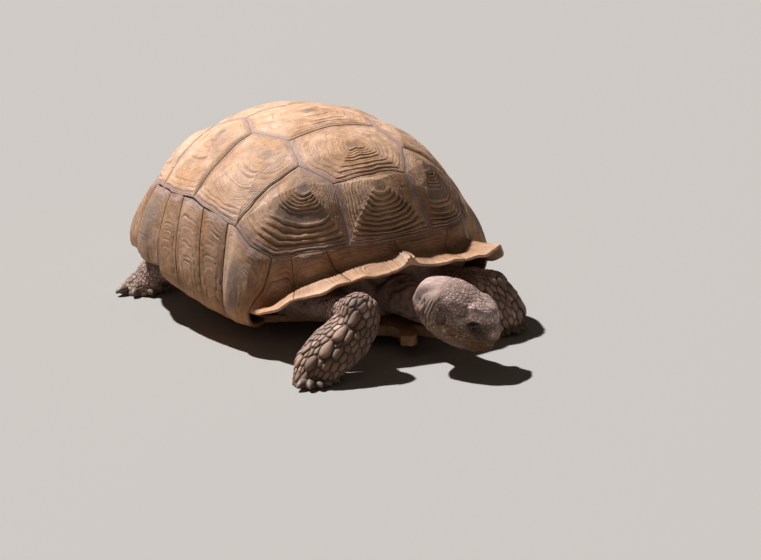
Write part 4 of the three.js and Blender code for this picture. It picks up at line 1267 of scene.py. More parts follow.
eyeBoxes = {side: np.array(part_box(f"eye_{side}")) * 1000 - standAt for side in ("left", "right")}
eyeLook = {
    "radius": 8.5, "gaze": (0.34, 0.93, 0.06), "halfWidth": 0.74, "halfHeight": 0.33, "lid": 0.7, "rim": 0.7,
    "wrinkle": 0.45, "socket": 2.4, "browHeight": 8.0, "sunk": 6.8, "rows": 28, "columns": 40,
    "front": 0.035,
}


def eyeFrame(side):
    centre = eyeBoxes[side].mean(0)
    sign = 1 if side == "left" else -1
    gaze = unit(np.array(eyeLook["gaze"]) * (1, sign, 1) @ headAxes)
    level = unit(headForward - gaze * (headForward @ gaze))
    return centre, gaze, level, np.cross(level, gaze) * sign


def nearCurve(places, curve):  # distance to a polyline
    curve = np.array(curve, float)
    best = np.full(len(places), 1e9)
    for a, b in zip(curve[:-1], curve[1:]):
        way = b - a
        t = np.clip(((places - a) @ way) / (way @ way), 0, 1)
        best = np.minimum(best, lengthOf(places - (a + t[:, None] * way)))
    return best


# the head's features in head coordinates on its left side: forward, left, up
headFeatures = {
    "brow": [(6, 44, 17), (14, 41.5, 20.5), (23, 38, 23.5), (32, 33.5, 25.5), (39, 29, 26)],
    "mouth": [(66, 0, -9), (60, 16, -7.5), (50, 27, -8), (36, 36, -10), (20, 42, -13), (5, 46, -15),
              (-6, 49, -13)],
    "nostril": (60.5, 6.0, 4.5), "ear": (-23, 50, 2), "palePatch": (-12, 48, -13),
    "hood": [(-31, 14, 50), (-37, 30, 41), (-41, 42, 22), (-44, 47, 0), (-41, 46, -20), (-36, 30, -42)],
}


def earShare(fold):  # 1 at the ear's edge
    return lengthOf((fold - headFeatures["ear"]) / (8.5, 30, 11.5))


def mouthHeight(ahead):
    line = headFeatures["mouth"][::-1]
    return np.interp(ahead, [p[0] for p in line], [p[2] for p in line])


def shapeHead(places, normals):  # returns moved places and how dark each crease is
    # the darkness returned is painted shade in the creases, pits, grooves and eye hollows
    fold = headFold(places)
    a, l, u = fold.T
    isHead = smooth((a + 98) / 14) * (l < 66) * (np.abs(u) < 66)
    creaseShade = np.zeros(len(places))
    push = np.zeros(len(places))
    brow = nearCurve(fold, headFeatures["brow"])
    push += eyeLook["browHeight"] * bell(brow / 5.6) * (1 - 0.75 * smooth((a - 28) / 12))
    orbit = lengthOf((fold - (28, 36, 10)) / (16, 30, 12))
    push += -eyeLook["sunk"] * plateau(orbit)
    # painted shade in the eye's hollow under the brow
    creaseShade = np.maximum(creaseShade, 0.75 * plateau(orbit / 1.05) * smooth((26 - u) / 8))
    # a flat forehead between the brows, a narrower muzzle before the eyes and full jaw muscles behind them
    push += 5.0 * lobe(u, 31, 10) * lobe(l, 38, 10) * smooth((a + 34) / 16) * (1 - smooth((a - 36) / 12))
    push += 4.5 * lobe(u, 36, 8) * lobe(l, 31, 8) * smooth((a - 6) / 10) * (1 - smooth((a - 38) / 9))
    push += -1.5 * lobe(l, 0, 16) * lobe(a, 30, 12) * (u > 10)
    # the hood narrows backwards
    push += -7.0 * smooth((-a - 40) / 28) * smooth((l - 22) / 16) * smooth((u + 12) / 18)
    push += -3.0 * lobe(a, 47, 9) * lobe(u, 10, 12) * smooth((l - 12) / 10)
    push += 3.2 * lobe(a, -2, 15) * lobe(u, -12, 15) * smooth((l - 30) / 12)
    push += 2.2 * lobe(a, 60, 9) * lobe(u, -2, 9)
    line = mouthHeight(a)
    isMouth = (a > -8) * 1.0
    push += isMouth * 1.8 * bell((u - line - 4.5) / 4.0) * smooth(a / 20)  # the beak's edge overhangs
    push += isMouth * -1.6 * bell((u - line + 5) / 4.5) * smooth(a / 20)
    groove = bell((u - line) / 1.5) * smooth((a + 9) / 8)
    push += -2.0 * groove
    creaseShade = np.maximum(creaseShade, 0.7 * groove)
    nostril = lengthOf((fold - headFeatures["nostril"]) * (1, 1.25, 1.5))
    push += -3.0 * bell(nostril / 2.4) + 1.1 * bell((nostril - 5.2) / 1.9)
    creaseShade = np.maximum(creaseShade, bell(nostril / 2.3))
    ear = earShare(fold)
    push += -2.2 * (1 - smooth((ear - 0.75) / 0.3)) + 1.0 * bell((ear - 1.15) / 0.16)
    creaseShade = np.maximum(creaseShade, 0.7 * bell((ear - 0.95) / 0.12))
    hoodLine = nearCurve(fold, headFeatures["hood"])  # a crease parts the smooth hood from the scaly crown
    isCreased = smooth((u + 5) / 10) * smooth((52 - u) / 8)
    push += -1.8 * bell(hoodLine / 1.9) * isCreased
    creaseShade = np.maximum(creaseShade, 0.8 * bell(hoodLine / 1.5) * isCreased)
    # behind the jaw the skin lies in upright folds, which run out towards the smooth hood above
    lower = 1 - smooth((u - 6) / 22)
    bend = headFeatures["hood"][::-1]
    behind = np.interp(u, [p[2] for p in bend], [p[0] for p in bend]) - a + 1.3 * noise(fold, 15, 43)
    pleat = (0.5 + 0.5 * np.cos(2 * np.pi * behind / 6.6)) ** 3
    pleat = pleat * (behind > -3) * plateau(behind / 15) * lower
    push += -2.9 * pleat
    creaseShade = np.maximum(creaseShade, 0.9 * pleat)
    folds = noise(beside(a / 6.5, l / 26, u / 30), 1.0, 41)
    lines = bell(folds / 0.12) * smooth((-a - 22) / 12)
    push += -(0.5 + 1.5 * lower) * lines
    creaseShade = np.maximum(creaseShade, (0.2 + 0.5 * lower) * lines)
    places = places + normals * (push * isHead)[:, None]
    for side in ("left", "right"):
        centre, gaze, level, upward = eyeFrame(side)
        offset = places - centre
        distance = lengthOf(offset)
        way = offset / np.maximum(distance, 1e-6)[:, None]
        ahead = way @ gaze
        turnAcross, turnUp = np.arctan2(way @ level, ahead), np.arctan2(way @ upward, ahead)
        inLid = np.clip(1 - (turnAcross / eyeLook["halfWidth"]) ** 2, 0.0, 1)
        opening = eyeLook["halfHeight"] * inLid ** 0.6
        isUpper = turnUp > 0
        # how far beyond the lid's edge, in radians
        past = np.abs(turnUp) - opening * np.where(isUpper, 0.8, 1.0)
        past = np.where(np.abs(turnAcross) < eyeLook["halfWidth"], past, 0.5)
        lid = eyeLook["radius"] + eyeLook["lid"] + eyeLook["rim"] * bell((past - 0.10) / 0.09)
        lid = lid + np.where(isUpper, 0.9, 0.0) + eyeLook["wrinkle"] * np.cos(past * 34) * (past > 0.15)
        radius = np.where(past < 0, eyeLook["radius"] - 2.0, lid)
        fromGaze = np.arccos(np.clip(ahead, -1, 1))
        share = (1 - smooth((fromGaze - 0.95) / 0.35)) * (distance < 26)
        socket = eyeLook["socket"] * bell((fromGaze - 1.12) / 0.20) * (distance < 26)
        places = places + way * ((radius - distance) * share)[:, None]
        places = places - normals * (socket * (1 - share))[:, None]
        # painted shade round the eyelids, at the lid's edge and in the lid wrinkles
        creaseShade = np.maximum(creaseShade, 0.6 * bell((fromGaze - 1.15) / 0.12) * (distance < 24))
        creaseShade = np.maximum(creaseShade, (past < 0.03) * (fromGaze < 0.9) * (distance < 20) * 1.0)
        creaseShade = np.maximum(creaseShade, (0.6 - 0.2 * np.cos(past * 34)) * (fromGaze < 1.2) * (distance < 20))
    return places, creaseShade * isHead


def shapeBody(places, normals):  # folds of the neck and the wrinkles of the legs and tail
    # also returns painted shade for the folds and for the forelegs' skin
    which, along, angle = partOf(places)
    names = np.array(partNames)[which]
    isNeck, isTail = names == "neck", names == "tail"
    isFore = np.char.startswith(names, "fore") & ~np.char.endswith(names, "upper")
    isHind = np.char.startswith(names, "hind") & ~np.char.endswith(names, "upper")
    isUpper = np.char.endswith(names, "upper")
    push, creaseShade = np.zeros(len(places)), np.zeros(len(places))
    rings = noise(beside(along / 13, angle * 1.1, which * 7.0), 1.0, 51)
    small = noise(beside(along / 5.5, angle * 3.0, which * 5.0), 1.0, 52)
    loose = noise(places, 17, 53)
    fold = bell(rings / 0.16)
    fine = bell(small / 0.18)
    deep = bell(loose / 0.12)
    push += isNeck * (3.2 * np.abs(rings) * 1.2 - 2.6 * fold - 0.9 * fine)
    push += (isHind | isTail) * (2.0 * np.abs(rings) - 2.0 * fold - 0.7 * fine)
    push += isUpper * (1.5 * np.abs(loose) - 2.2 * deep - 0.7 * fine)
    creaseShade += isNeck * np.maximum(0.8 * fold, 0.5 * fine)
    creaseShade += (isHind | isTail) * np.maximum(0.8 * fold, 0.4 * fine)
    # painted shade in the folds, and over the foreleg skin that shows between the scales
    creaseShade += isUpper * np.maximum(0.7 * deep, 0.4 * fine) + isFore * 0.55
    behindHood = smooth((places[:, 1] + 436) / 30) * smooth((-toHead(places)[:, 0] - 50) / 34)
    fade = np.where(isNeck, behindHood, 1)  # the folds fade out on the hood
    push, creaseShade = push * fade, creaseShade * fade
    near = smooth(places[:, 2] / 14)
    return places + normals * (push * near)[:, None], creaseShade


def makeSkin():
    shapes = [trunkMesh(), flesh(neckPlaces, neckHalves, 1.0), flesh(tailPlaces, tailHalves, 1.6),
              headMesh()]
    for name in limbs:
        shape = limbShape(name)
        coat = shape["size"]["coat"]
        shapes.append(flesh(shape["above"], shape["size"]["above"], coat * 0.5))
        shapes.append(flesh(shape["below"], shape["size"]["below"], coat, ahead=shape["ahead"]))
    skin = joinedAs("skin", [makeObject("flesh", mesh) for mesh in shapes])
    remesh = skin.modifiers.new("remesh", "REMESH")
    remesh.mode, remesh.voxel_size = "VOXEL", skinLook["voxel"] / 1000
    relax = skin.modifiers.new("relax", "SMOOTH")
    relax.factor, relax.iterations = 0.5, skinLook["smoothing"]
    say(f"skin remeshed, {len(applied(skin).polygons)} faces")
    return skin


def refine(mesh, isWanted):  # divides the faces whose middle is wanted
    work = bmesh.new()
    work.from_mesh(mesh)
    middles = np.array([face.calc_center_median()[:] for face in work.faces]) * 1000
    chosen = isWanted(middles)
    edges = {edge for face, flag in zip(work.faces, chosen) if flag for edge in face.edges}
    bmesh.ops.subdivide_edges(work, edges=list(edges), cuts=1, use_grid_fill=True)
    bmesh.ops.triangulate(work, faces=[face for face in work.faces if len(face.verts) > 4])
    work.to_mesh(mesh)
    work.free()


def hideMasks(places):  # where the hide is warmer, where it is paler and where it is dusky
    # the darker zones are painted shade, the paler top of the head is partly painted light, and the warmer
    # front of the near foreleg is partly painted shade
    fold = headFold(places)
    a, l, u = fold.T
    isHead = (a > -96) & (l < 60) & (np.abs(u) < 64)
    cheek = smooth((8 - u) / 16) * smooth((a + 40) / 20) * isHead
    low = smooth((46 - places[:, 2]) / 40) * ~isHead
    warm = np.clip(0.75 * cheek + 0.35 * low + 0.25 * noise(places, 30, 61), 0, 1)
    snout = bell((a - 60) / 7) * bell((u - 5) / 6) * isHead
    line = mouthHeight(a)
    beak = smooth((a - 22) / 10) * smooth((line + 11 - u) / 4) * isHead
    brow = bell(nearCurve(fold, headFeatures["brow"]) / 6) * isHead
    forehead = smooth((a - 8) / 8) * smooth((u - 22) / 6) * isHead
    crown = smooth((u - 16) / 16) * isHead
    hood = smooth((-a - 42) / 14) * smooth((u + 10) / 20) * isHead
    # the white nostril patch is the hide's own; the brow, forehead, crown and hood are lightened as painted
    # light where light falls on the top of the head
    bright = np.clip(snout + brow + 0.38 * crown + 0.75 * forehead + 0.6 * hood, 0, 1.15)
    # painted shade: darker muzzle sides under the brow and darker temples
    muzzle = plateau((a - 42) / 18) * plateau((u - 8) / 14) * smooth((l - 3) / 6) * (1 - snout)
    temple = plateau((a + 24) / 11) * plateau((u - 8) / 15) * smooth((l - 24) / 8)
    dusky = np.clip((0.95 * muzzle + 0.6 * temple) * isHead * (1 - brow), 0, 1)
    bright = np.clip(bright + bell(lengthOf(fold - headFeatures["palePatch"]) / 5), 0, 1.15)
    # warmer, darker brown-orange on the forward part of the near foreleg: partly the hide's own colour,
    # partly painted shade on its shaded front
    legs = smooth((-places[:, 1] - 380) / 30) * (a < -70) * (places[:, 2] < 112)
    cheekSpot = lobe(a, 2, 15) * lobe(u, -12, 12) * isHead
    warm = np.clip(warm + 0.5 * beak + 0.35 * legs + 0.5 * cheekSpot, 0, 1)
    return warm, bright, dusky


def finishSkin(skin):
    x, y, z = (meshPlaces(skin.data) * 1000).T
    # what lies inside the shell isn't seen, so it is thinned
    inShell = (y > -200) & (y < 96) | (z > 172) & (y > -330) | (z > 140) & (y > -200)
    inShell |= (np.abs(x) < 85) & (z < 60) & (y > -280) & (y < 240)
    group = skin.vertex_groups.new(name="hidden")
    group.add([int(i) for i in np.nonzero(inShell)[0]], 1.0, "REPLACE")
    visible = 1 - inShell.mean()
    thin = skin.modifiers.new("thin", "DECIMATE")
    thin.vertex_group = "hidden"
    thin.ratio = visible + skinLook["hiddenShare"] * (1 - visible)
    mesh = applied(skin)
    skin.vertex_groups.clear()
    refine(mesh, isNearHead)
    refine(mesh, isNearEyes)
    places, normals = meshPlaces(mesh) * 1000, meshNormals(mesh)
    moved, bodyCreaseShade = shapeBody(places, normals)
    moved, headCreaseShade = shapeHead(moved, normals)
    moved[:, 2] = np.where(moved[:, 2] < skinLook["sole"], 0, moved[:, 2])
    mesh.vertices.foreach_set("co", toFrame(moved).astype(np.float32).ravel())
    mesh.update()
    mesh.shade_smooth()
    for label, values in zip(("warm", "bright", "dusky"), hideMasks(moved)):
        setMask(mesh, label, values)
    setMask(mesh, "creaseShade", np.clip(np.maximum(bodyCreaseShade, headCreaseShade), 0, 1))
    mesh.materials.clear()
    finishPiece(skin, hide, "skin", *fleshNodes)
    return skin


def isNearHead(places):
    a, l, u = headFold(places).T
    return (a > -62) & (l < 60) & (np.abs(u) < 64)


def isNearEyes(places):
    gaps = [lengthOf(places - eyeBoxes[side].mean(0)) for side in eyeBoxes]
    fold = headFold(places)
    return (np.minimum(*gaps) < 17) | (nearCurve(fold, headFeatures["mouth"]) < 4) & (fold[:, 0] > 0)


skin = finishSkin(makeSkin())
say(f"skin shaped, {len(skin.data.polygons)} faces")
skinTree = BVHTree.FromPolygons([v.co[:] for v in skin.data.vertices],
                                [p.vertices[:] for p in skin.data.polygons])


# scales: each a low dome in its own cell between its neighbours, its edge sunk into the skin

scaleLook = {
    "neighbours": 14, "sunk": 0.9, "patch": 0.003, "tries": 11, "cell": 2.6, "near": 2.4, "packing": 0.90,
    "shortest": 0.3, "longest": 1.5,
}


def skinTriangles():
    mesh = skin.data
    mesh.calc_loop_triangles()
    corners = np.empty(len(mesh.loop_triangles) * 3, np.int32)
    mesh.loop_triangles.foreach_get("vertices", corners)
    places = meshPlaces(mesh) * 1000 - standAt
    corners = corners.reshape(-1, 3)
    middles = places[corners].mean(1)
    return corners, places, middles, partOf(middles)[0]


skinCorners, skinPlaces, skinMiddles, skinParts = skinTriangles()


def surfaceSpots(part, isWanted, density, seed):  # even random spots on a part of the skin
    wanted = np.nonzero(skinParts == partNames.index(part))[0]
    wanted = wanted[isWanted(skinMiddles[wanted])]
    corners = skinPlaces[skinCorners[wanted]]
    areas = lengthOf(np.cross(corners[:, 1] - corners[:, 0], corners[:, 2] - corners[:, 0])) / 2
    rng = np.random.default_rng(seed)
    chosen = rng.choice(len(areas), int(areas.sum() * density), p=areas / areas.sum())
    mixed, second = np.sqrt(rng.random(len(chosen))), rng.random(len(chosen))
    shares = beside(1 - mixed, mixed * (1 - second), mixed * second)[..., None]
    return (corners[chosen] * shares).sum(1)


def squeezed(places, way, stretch):  # shortened along the way the scales are long
    way = np.asarray(way, float)
    return places - (1 - 1 / stretch) * (places @ way)[..., None] * way


def treeOf(places):
    tree = KDTree(len(places))
    for i, place in enumerate(places):
        tree.insert(place, i)
    tree.balance()
    return tree


# picks spots that keep their distance, the fixed ones first
def spread(spots, flats, radii, fixed, way, stretch):
    tree = treeOf(flats)
    alive = np.ones(len(spots), bool)
    kept, keptRadii = [], []

    def claim(place, radius):
        for _, j, gap in tree.find_range(place, scaleLook["near"] * radius):
            if gap < scaleLook["packing"] * (radius + radii[j]):
                alive[j] = False

    for place, radius in fixed:
        claim(squeezed(np.array(place), way, stretch), radius)
        kept.append(place)
        keptRadii.append(radius)
    for i in np.argsort(-radii, kind="stable"):
        if alive[i]:
            claim(flats[i], radii[i])
            kept.append(spots[i])
            keptRadii.append(radii[i])
    return np.array(kept), np.array(keptRadii)


def onSkin(places):  # nearest places on the skin, and the normals there
    found = [skinTree.find_nearest(place) for place in toFrame(places)]
    return (np.array([f[0][:] for f in found]) * 1000 - standAt), np.array([f[1][:] for f in found])


def cellReach(centres, radii, normals, coat):  # how far each cell reaches in each of its directions
    forward = np.tile(np.asarray(coat["lie"], float), (len(centres), 1))
    forward = unit(forward - normals * (forward * normals).sum(1)[:, None])
    sideways = np.cross(normals, forward)
    flats = squeezed(centres, coat["lie"], coat["stretch"])
    tree = treeOf(flats)
    near = np.array([[j for _, j, _ in tree.find_n(c, scaleLook["neighbours"])] for c in flats])[:, 1:]
    offset = flats[near] - flats[:, None]
    flat = beside((offset * forward[:, None]).sum(-1), (offset * sideways[:, None]).sum(-1))
    gaps = lengthOf(offset)
    flat = flat * (gaps / np.maximum(lengthOf(flat), 1e-6))[..., None]
    turns = roundTurns(coat["sides"])
    ways = beside(np.cos(turns), np.sin(turns))
    facing = flat @ ways.T
    reach = (gaps ** 2 + radii[:, None] ** 2 - radii[near] ** 2)[..., None] / np.maximum(2 * facing, 1e-6)
    reach = np.where(facing > 0.05 * gaps[..., None], reach, 1e9).min(1)
    reach = np.clip(reach - coat["gap"], scaleLook["shortest"] * radii[:, None],
                    scaleLook["longest"] * radii[:, None])
    reach = (1 - 2 * coat["round"]) * reach + coat["round"] * (np.roll(reach, 1, 1) + np.roll(reach, -1, 1))
    flatSpots = ways[None] * reach[..., None] * (coat["stretch"], 1.0)
    return flatSpots[..., :1] * forward[:, None] + flatSpots[..., 1:] * sideways[:, None], ways


def scaleCoat(name, part, centres, radii, coat, seed):
    rng = np.random.default_rng(seed)
    centres, normals = onSkin(centres)
    offsets, ways = cellReach(centres, radii, normals, coat)
    sides, count = coat["sides"], len(centres)
    # share, height, dark rim (painted shade at the scale's edge and in the gap round it)
    rings = [(1.0, -1.0, 1.0), (1.0, 0.12, 1.0), (0.88, 0.58, 0.42), (0.60, 0.88, 0.0)]
    great = np.maximum(radii - 5.5, 0) * (coat is not headCoat)
    heights = (coat["rise"][0] + coat["rise"][1] * radii + 0.45 * great) * rng.uniform(0.8, 1.25, count)
    slants = (coat["tilt"] * radii + 0.10 * great) * rng.uniform(0.6, 1.3, count)
    places, rims = [], []
    for share, level, rim in rings:
        ground, up = onSkin((centres[:, None] + offsets * share).reshape(-1, 3))
        ground, up = ground.reshape(count, sides, 3), up.reshape(count, sides, 3)
        up = unit(0.6 * up + normals[:, None])
        slant = slants[:, None] * share * np.clip(ways[:, 0], -0.3, 1)[None]
        lift = -scaleLook["sunk"] + 0 * slant if level < 0 else heights[:, None] * level + slant
        places.append(ground + up * lift[..., None])
        rims.append(np.full((count, sides), rim))
    places.append((centres + normals * heights[:, None])[:, None])
    rims.append(np.zeros((count, 1)))
    places, rims = np.concatenate(places, 1), np.concatenate(rims, 1)
    places[..., 2] = np.maximum(places[..., 2], 0.3)
    each = len(rings) * sides + 1
    k = np.arange(sides)
    after = (k + 1) % sides
    quads = np.concatenate([
        beside(r * sides + k, r * sides + after, (r + 1) * sides + after, (r + 1) * sides + k)
        for r in range(len(rings) - 1)
    ])
    last = (len(rings) - 1) * sides
    fan = beside(last + k, last + after, np.full(sides, each - 1))
    starts = (np.arange(count) * each)[:, None, None]
    mesh = makeMesh(name, toFrame(places.reshape(-1, 3)), (quads[None] + starts).reshape(-1, 4),
                    (fan[None] + starts).reshape(-1, 3))
    warm, bright, dusky = hideMasks(centres)
    paleOnes = (rng.random(count) > 0.92) * rng.uniform(0.2, 0.6, count)
    flat = {"warm": warm, "bright": np.clip(bright + paleOnes, 0, 1), "dusky": dusky,
            "tone": rng.random(count)}
    for label, values in flat.items():
        setMask(mesh, label, np.repeat(values, each))
    setMask(mesh, "rim", rims)
    local = np.concatenate([ways * share / 2 for share, _, _ in rings] + [np.zeros((1, 2))])
    uvs = (unrolled(part, centres)[:, None] + local[None] * scaleLook["patch"]).reshape(-1, 2)
    vertexOf = np.empty(len(mesh.loops), np.int32)
    mesh.loops.foreach_get("vertex_index", vertexOf)
    mesh.uv_layers.new(name="OFBake").data.foreach_set("uv", uvs[vertexOf].astype(np.float32).ravel())
    print(f"{name}: {count} scales, {count * (len(quads) * 2 + len(fan))} triangles")
    finishPiece(makeObject(name, mesh), hideScales, "skin")


def unrolled(part, places):  # the part rolled out flat: round it, and along it
    line, _ = bodyAxes[part]
    nearest = np.argmin(lengthOf(places[:, None] - line[None]), 1)
    way = unit(line[-1] - line[0])
    side = unit(np.cross(way, (0.3, 0.2, 1.0)))
    offset = places - line[nearest]
    turn = np.arctan2(offset @ np.cross(way, side), offset @ side) / (2 * np.pi) + 0.5
    far = ((places - line[0]) @ way) / max((line[-1] - line[0]) @ way, 1)
    return beside(0.03 + 0.94 * turn, 0.03 + 0.94 * np.clip(0.15 + 0.7 * far, 0, 1))


def partCoat(name, part, isWanted, size, coat, seed, fixed=()):
    probe = surfaceSpots(part, isWanted, 0.02, seed)
    cell = scaleLook["cell"] * coat["stretch"] * np.median(size(probe)) ** 2
    density = scaleLook["tries"] / cell
    spots = surfaceSpots(part, isWanted, density, seed + 1)
    flats = squeezed(spots, coat["lie"], coat["stretch"])
    centres, radii = spread(spots, flats, size(spots), fixed, coat["lie"], coat["stretch"])
    scaleCoat(name, part, centres, radii, coat, seed + 2)


# head: large shields on the forehead and snout, small many-sided scales elsewhere, none on the beak
headCoat = {
    "lie": tuple(-headForward), "stretch": 1.0, "sides": 10, "gap": 0.16, "round": 0.08,
    "rise": (0.25, 0.06), "tilt": 0.04,
    "shields": [((36, 0, 42), 12.0), ((50, 8, 33), 6.8), ((50, -8, 33), 6.8), ((16, 6.5, 50), 6),
                ((16, -6.5, 50), 6)],
    "brows": [((11, 44, 21), 4.2), ((18, 41, 25), 4.6), ((26, 37, 28), 4.6), ((33, 33, 29), 4.2),
              ((14, 38, 30), 3.6), ((22, 34, 33), 3.8), ((30, 29, 34), 3.8)],
}


def eyeGap(places):
    return np.minimum(*[lengthOf(places - eyeFrame(side)[0]) for side in eyeBoxes])


def dressHead():
    fixed = list(headCoat["shields"])
    for side in (1, -1):
        fixed += [((a, side * l, u), radius) for (a, l, u), radius in headCoat["brows"]]
    fixed = [(tuple(inHead(spot)), radius) for spot, radius in fixed]

    def isWanted(places):
        fold = headFold(places)
        a, l, u = fold.T
        line = mouthHeight(a)
        isBeak = (a > 22) & (u < line + 6 + 6 * smooth((a - 40) / 20)) & (u > line - 9)
        nostril = lengthOf(fold - headFeatures["nostril"])
        return (a > -36 + 8 * noise(places, 9, 95)) & ~isBeak & (eyeGap(places) > 12.5) \
            & (earShare(fold) > 0.95) & (np.abs(u - line) > 2.5) & (nostril > 5.5) \
            & (nearCurve(fold, headFeatures["hood"]) > 3.2)

    def size(places):
        a, _, u = headFold(places).T
        radius = np.where(u > 16, 2.7 + 0.9 * smooth((a + 20) / 30), 2.7) * np.where(a < -18, 0.8, 1.0)
        return radius * (0.55 + 0.45 * smooth((eyeGap(places) - 12) / 8)) * (1 + 0.25 * noise(places, 9, 91))

    partCoat("head_scales", "head", isWanted, size, headCoat, 2000, fixed)


legCoat = {"stretch": 1.75, "sides": 11, "gap": 0.34, "round": 0.05, "rise": (0.6, 0.22), "tilt": 0.26}
# great scales down the front edge of the right foreleg: place, half width
foreRidge = [
    ((-104, -412, 116), 6), ((-139, -429, 114), 7), ((-159, -432, 102), 9), ((-188, -434, 81), 10),
    ((-217, -440, 61), 10.5), ((-244, -436, 41), 9.5), ((-238, -406, 60), 7.5), ((-254, -412, 40), 7),
    ((-257, -436, 19), 6), ((-262, -421, 18), 5.5), ((-204, -460, 60), 7), ((-226, -460, 40), 7),
    ((-178, -450, 82), 6.5), ((-150, -446, 96), 6),
]


def movedRidge(name):  # the same scales laid on either foreleg
    near, far = limbShape("fore_right"), limbShape(name)
    mirror = -1 if name == "fore_left" else 1
    moved = []
    for (x, y, z), radius in foreRidge:
        share = np.clip(1 - z / near["joint"][2], 0, 1)
        offset = (np.array([x, y, z]) - near["joint"] - (near["foot"] - near["joint"]) * share) * (1, 1, 0)
        ahead, aside = offset @ near["ahead"], offset @ np.cross((0, 0, 1), near["ahead"])
        spot = far["joint"] + (far["foot"] - far["joint"]) * share + far["ahead"] * ahead \
            + mirror * np.cross((0, 0, 1), far["ahead"]) * aside
        spot[2] = z * far["joint"][2] / near["joint"][2]
        moved.append((tuple(onSkin(spot[None])[0][0]), radius))
    return moved


def fromLeg(shape, places):  # level offsets from the line between the joint and the foot
    share = np.clip(1 - places[:, 2] / shape["joint"][2], 0, 1)[:, None]
    return (places - shape["joint"] - (shape["foot"] - shape["joint"]) * share) * (1, 1, 0)


def isOffFloor(places):
    return places[:, 2] > 2.5


def dressForeleg(name, seed):
    shape = limbShape(name)
    front = shape["ahead"]
    outward = np.array([-front[1], front[0], 0]) * (-1 if "right" in name else 1)
    coat = {**legCoat, "lie": tuple(unit(shape["foot"] - shape["joint"]))}

    def size(places):  # broad on the front, narrower on the outer side, small behind
        way = unit(fromLeg(shape, places))
        isFront, isOuter = smooth(0.2 + 0.9 * way @ front), smooth(0.3 + way @ outward)
        radius = 2.6 + 2.2 * isFront + 0.9 * isOuter * (1 - isFront)
        radius = radius * (1 - 0.35 * smooth((34 - places[:, 2]) / 20) * isOuter)
        return radius * (1 + 0.25 * noise(places, 15, 92))

    partCoat(name + "_scales", name, isOffFloor, size, coat, seed, movedRidge(name))


def dressUpperLeg(name, seed):
    shape = limbShape(name)
    coat = {**legCoat, "lie": tuple(unit(shape["joint"] - shape["above"][0])), "stretch": 1.15,
            "rise": (0.3, 0.1)}

    def isOut(places):  # clear of the shell
        return places[:, 1] < -300 if name.startswith("fore") else places[:, 1] > 150

    def size(places):
        return 3.6 * (1 + 0.3 * noise(places, 15, 96))

    partCoat(name + "_upper_scales", name + "_upper", isOut, size, coat, seed)


def dressHindleg(name, seed):
    shape = limbShape(name)
    coat = {**legCoat, "lie": tuple(unit(shape["foot"] - shape["joint"])), "stretch": 0.8,
            "rise": (0.3, 0.1), "tilt": 0.05, "gap": 0.22}

    def isWanted(places):
        return isOffFloor(places) & (places[:, 2] < 112) & (lengthOf(fromLeg(shape, places)) < 64)

    def size(places):
        return (4.2 + 2.4 * smooth((26 - places[:, 2]) / 20)) * (1 + 0.3 * noise(places, 14, 93))

    partCoat(name + "_scales", name, isWanted, size, coat, seed)


def dressTail():
    coat = {**legCoat, "lie": (0.0, 0.91, -0.41), "stretch": 1.25, "sides": 10}

    def isOut(places):
        return places[:, 1] > 262

    def size(places):
        return 3.1 * (1 + 0.25 * noise(places, 12, 94))

    partCoat("tail_scales", "tail", isOut, size, coat, 2500)


dressHead()
say("head scaled")
dressForeleg("fore_right", 2100)
dressForeleg("fore_left", 2200)
dressUpperLeg("fore_right", 2600)
dressUpperLeg("fore_left", 2700)
say("forelegs scaled")
dressHindleg("hind_right", 2300)
dressHindleg("hind_left", 2400)
dressUpperLeg("hind_right", 2800)
dressUpperLeg("hind_left", 2900)
dressTail()
say("hind legs and tail scaled")


# eyes

def makeEye(side):
    centre, gaze, level, upward = eyeFrame(side)
    node = f"eye_{side}"
    radius = eyeLook["radius"] - 0.1
    rows, columns = eyeLook["rows"], eyeLook["columns"]
    polar = np.linspace(0, np.pi, rows + 2)[1:-1]
    turns = roundTurns(columns)
    bulge = 1 + eyeLook["front"] * bell(polar / 0.55)  # the front stands out a little
    spots = centre + radius * (bulge * np.cos(polar))[None, :, None] * gaze \
        + radius * (bulge * np.sin(polar))[None, :, None] * (
            np.cos(turns)[:, None, None] * level + np.sin(turns)[:, None, None] * upward)
    places = np.concatenate([spots.reshape(-1, 3),
                             [centre + radius * (1 + eyeLook["front"]) * gaze, centre - radius * gaze]])
    tip, first = columns * rows, np.arange(columns) * rows
    caps = np.concatenate([capFaces(tip, first), capFaces(tip + 1, first + rows - 1)[:, [0, 2, 1]]])
    mesh = makeMesh(node, toFrame(places), gridFaces(columns, rows, isClosed=True), caps)
    if side == "left":
        mesh.flip_normals()
    front = np.concatenate([np.tile(np.cos(polar), columns), [1, -1]])
    setMask(mesh, "front", front)
    finishPiece(makeObject(node + "_ball", mesh), eyeWet, "eye", node)


makeEye("left")
makeEye("right")
say("eyes set")


# claws and spurs: one tree of nodes sets a fan of curved cones round a foot or a thigh

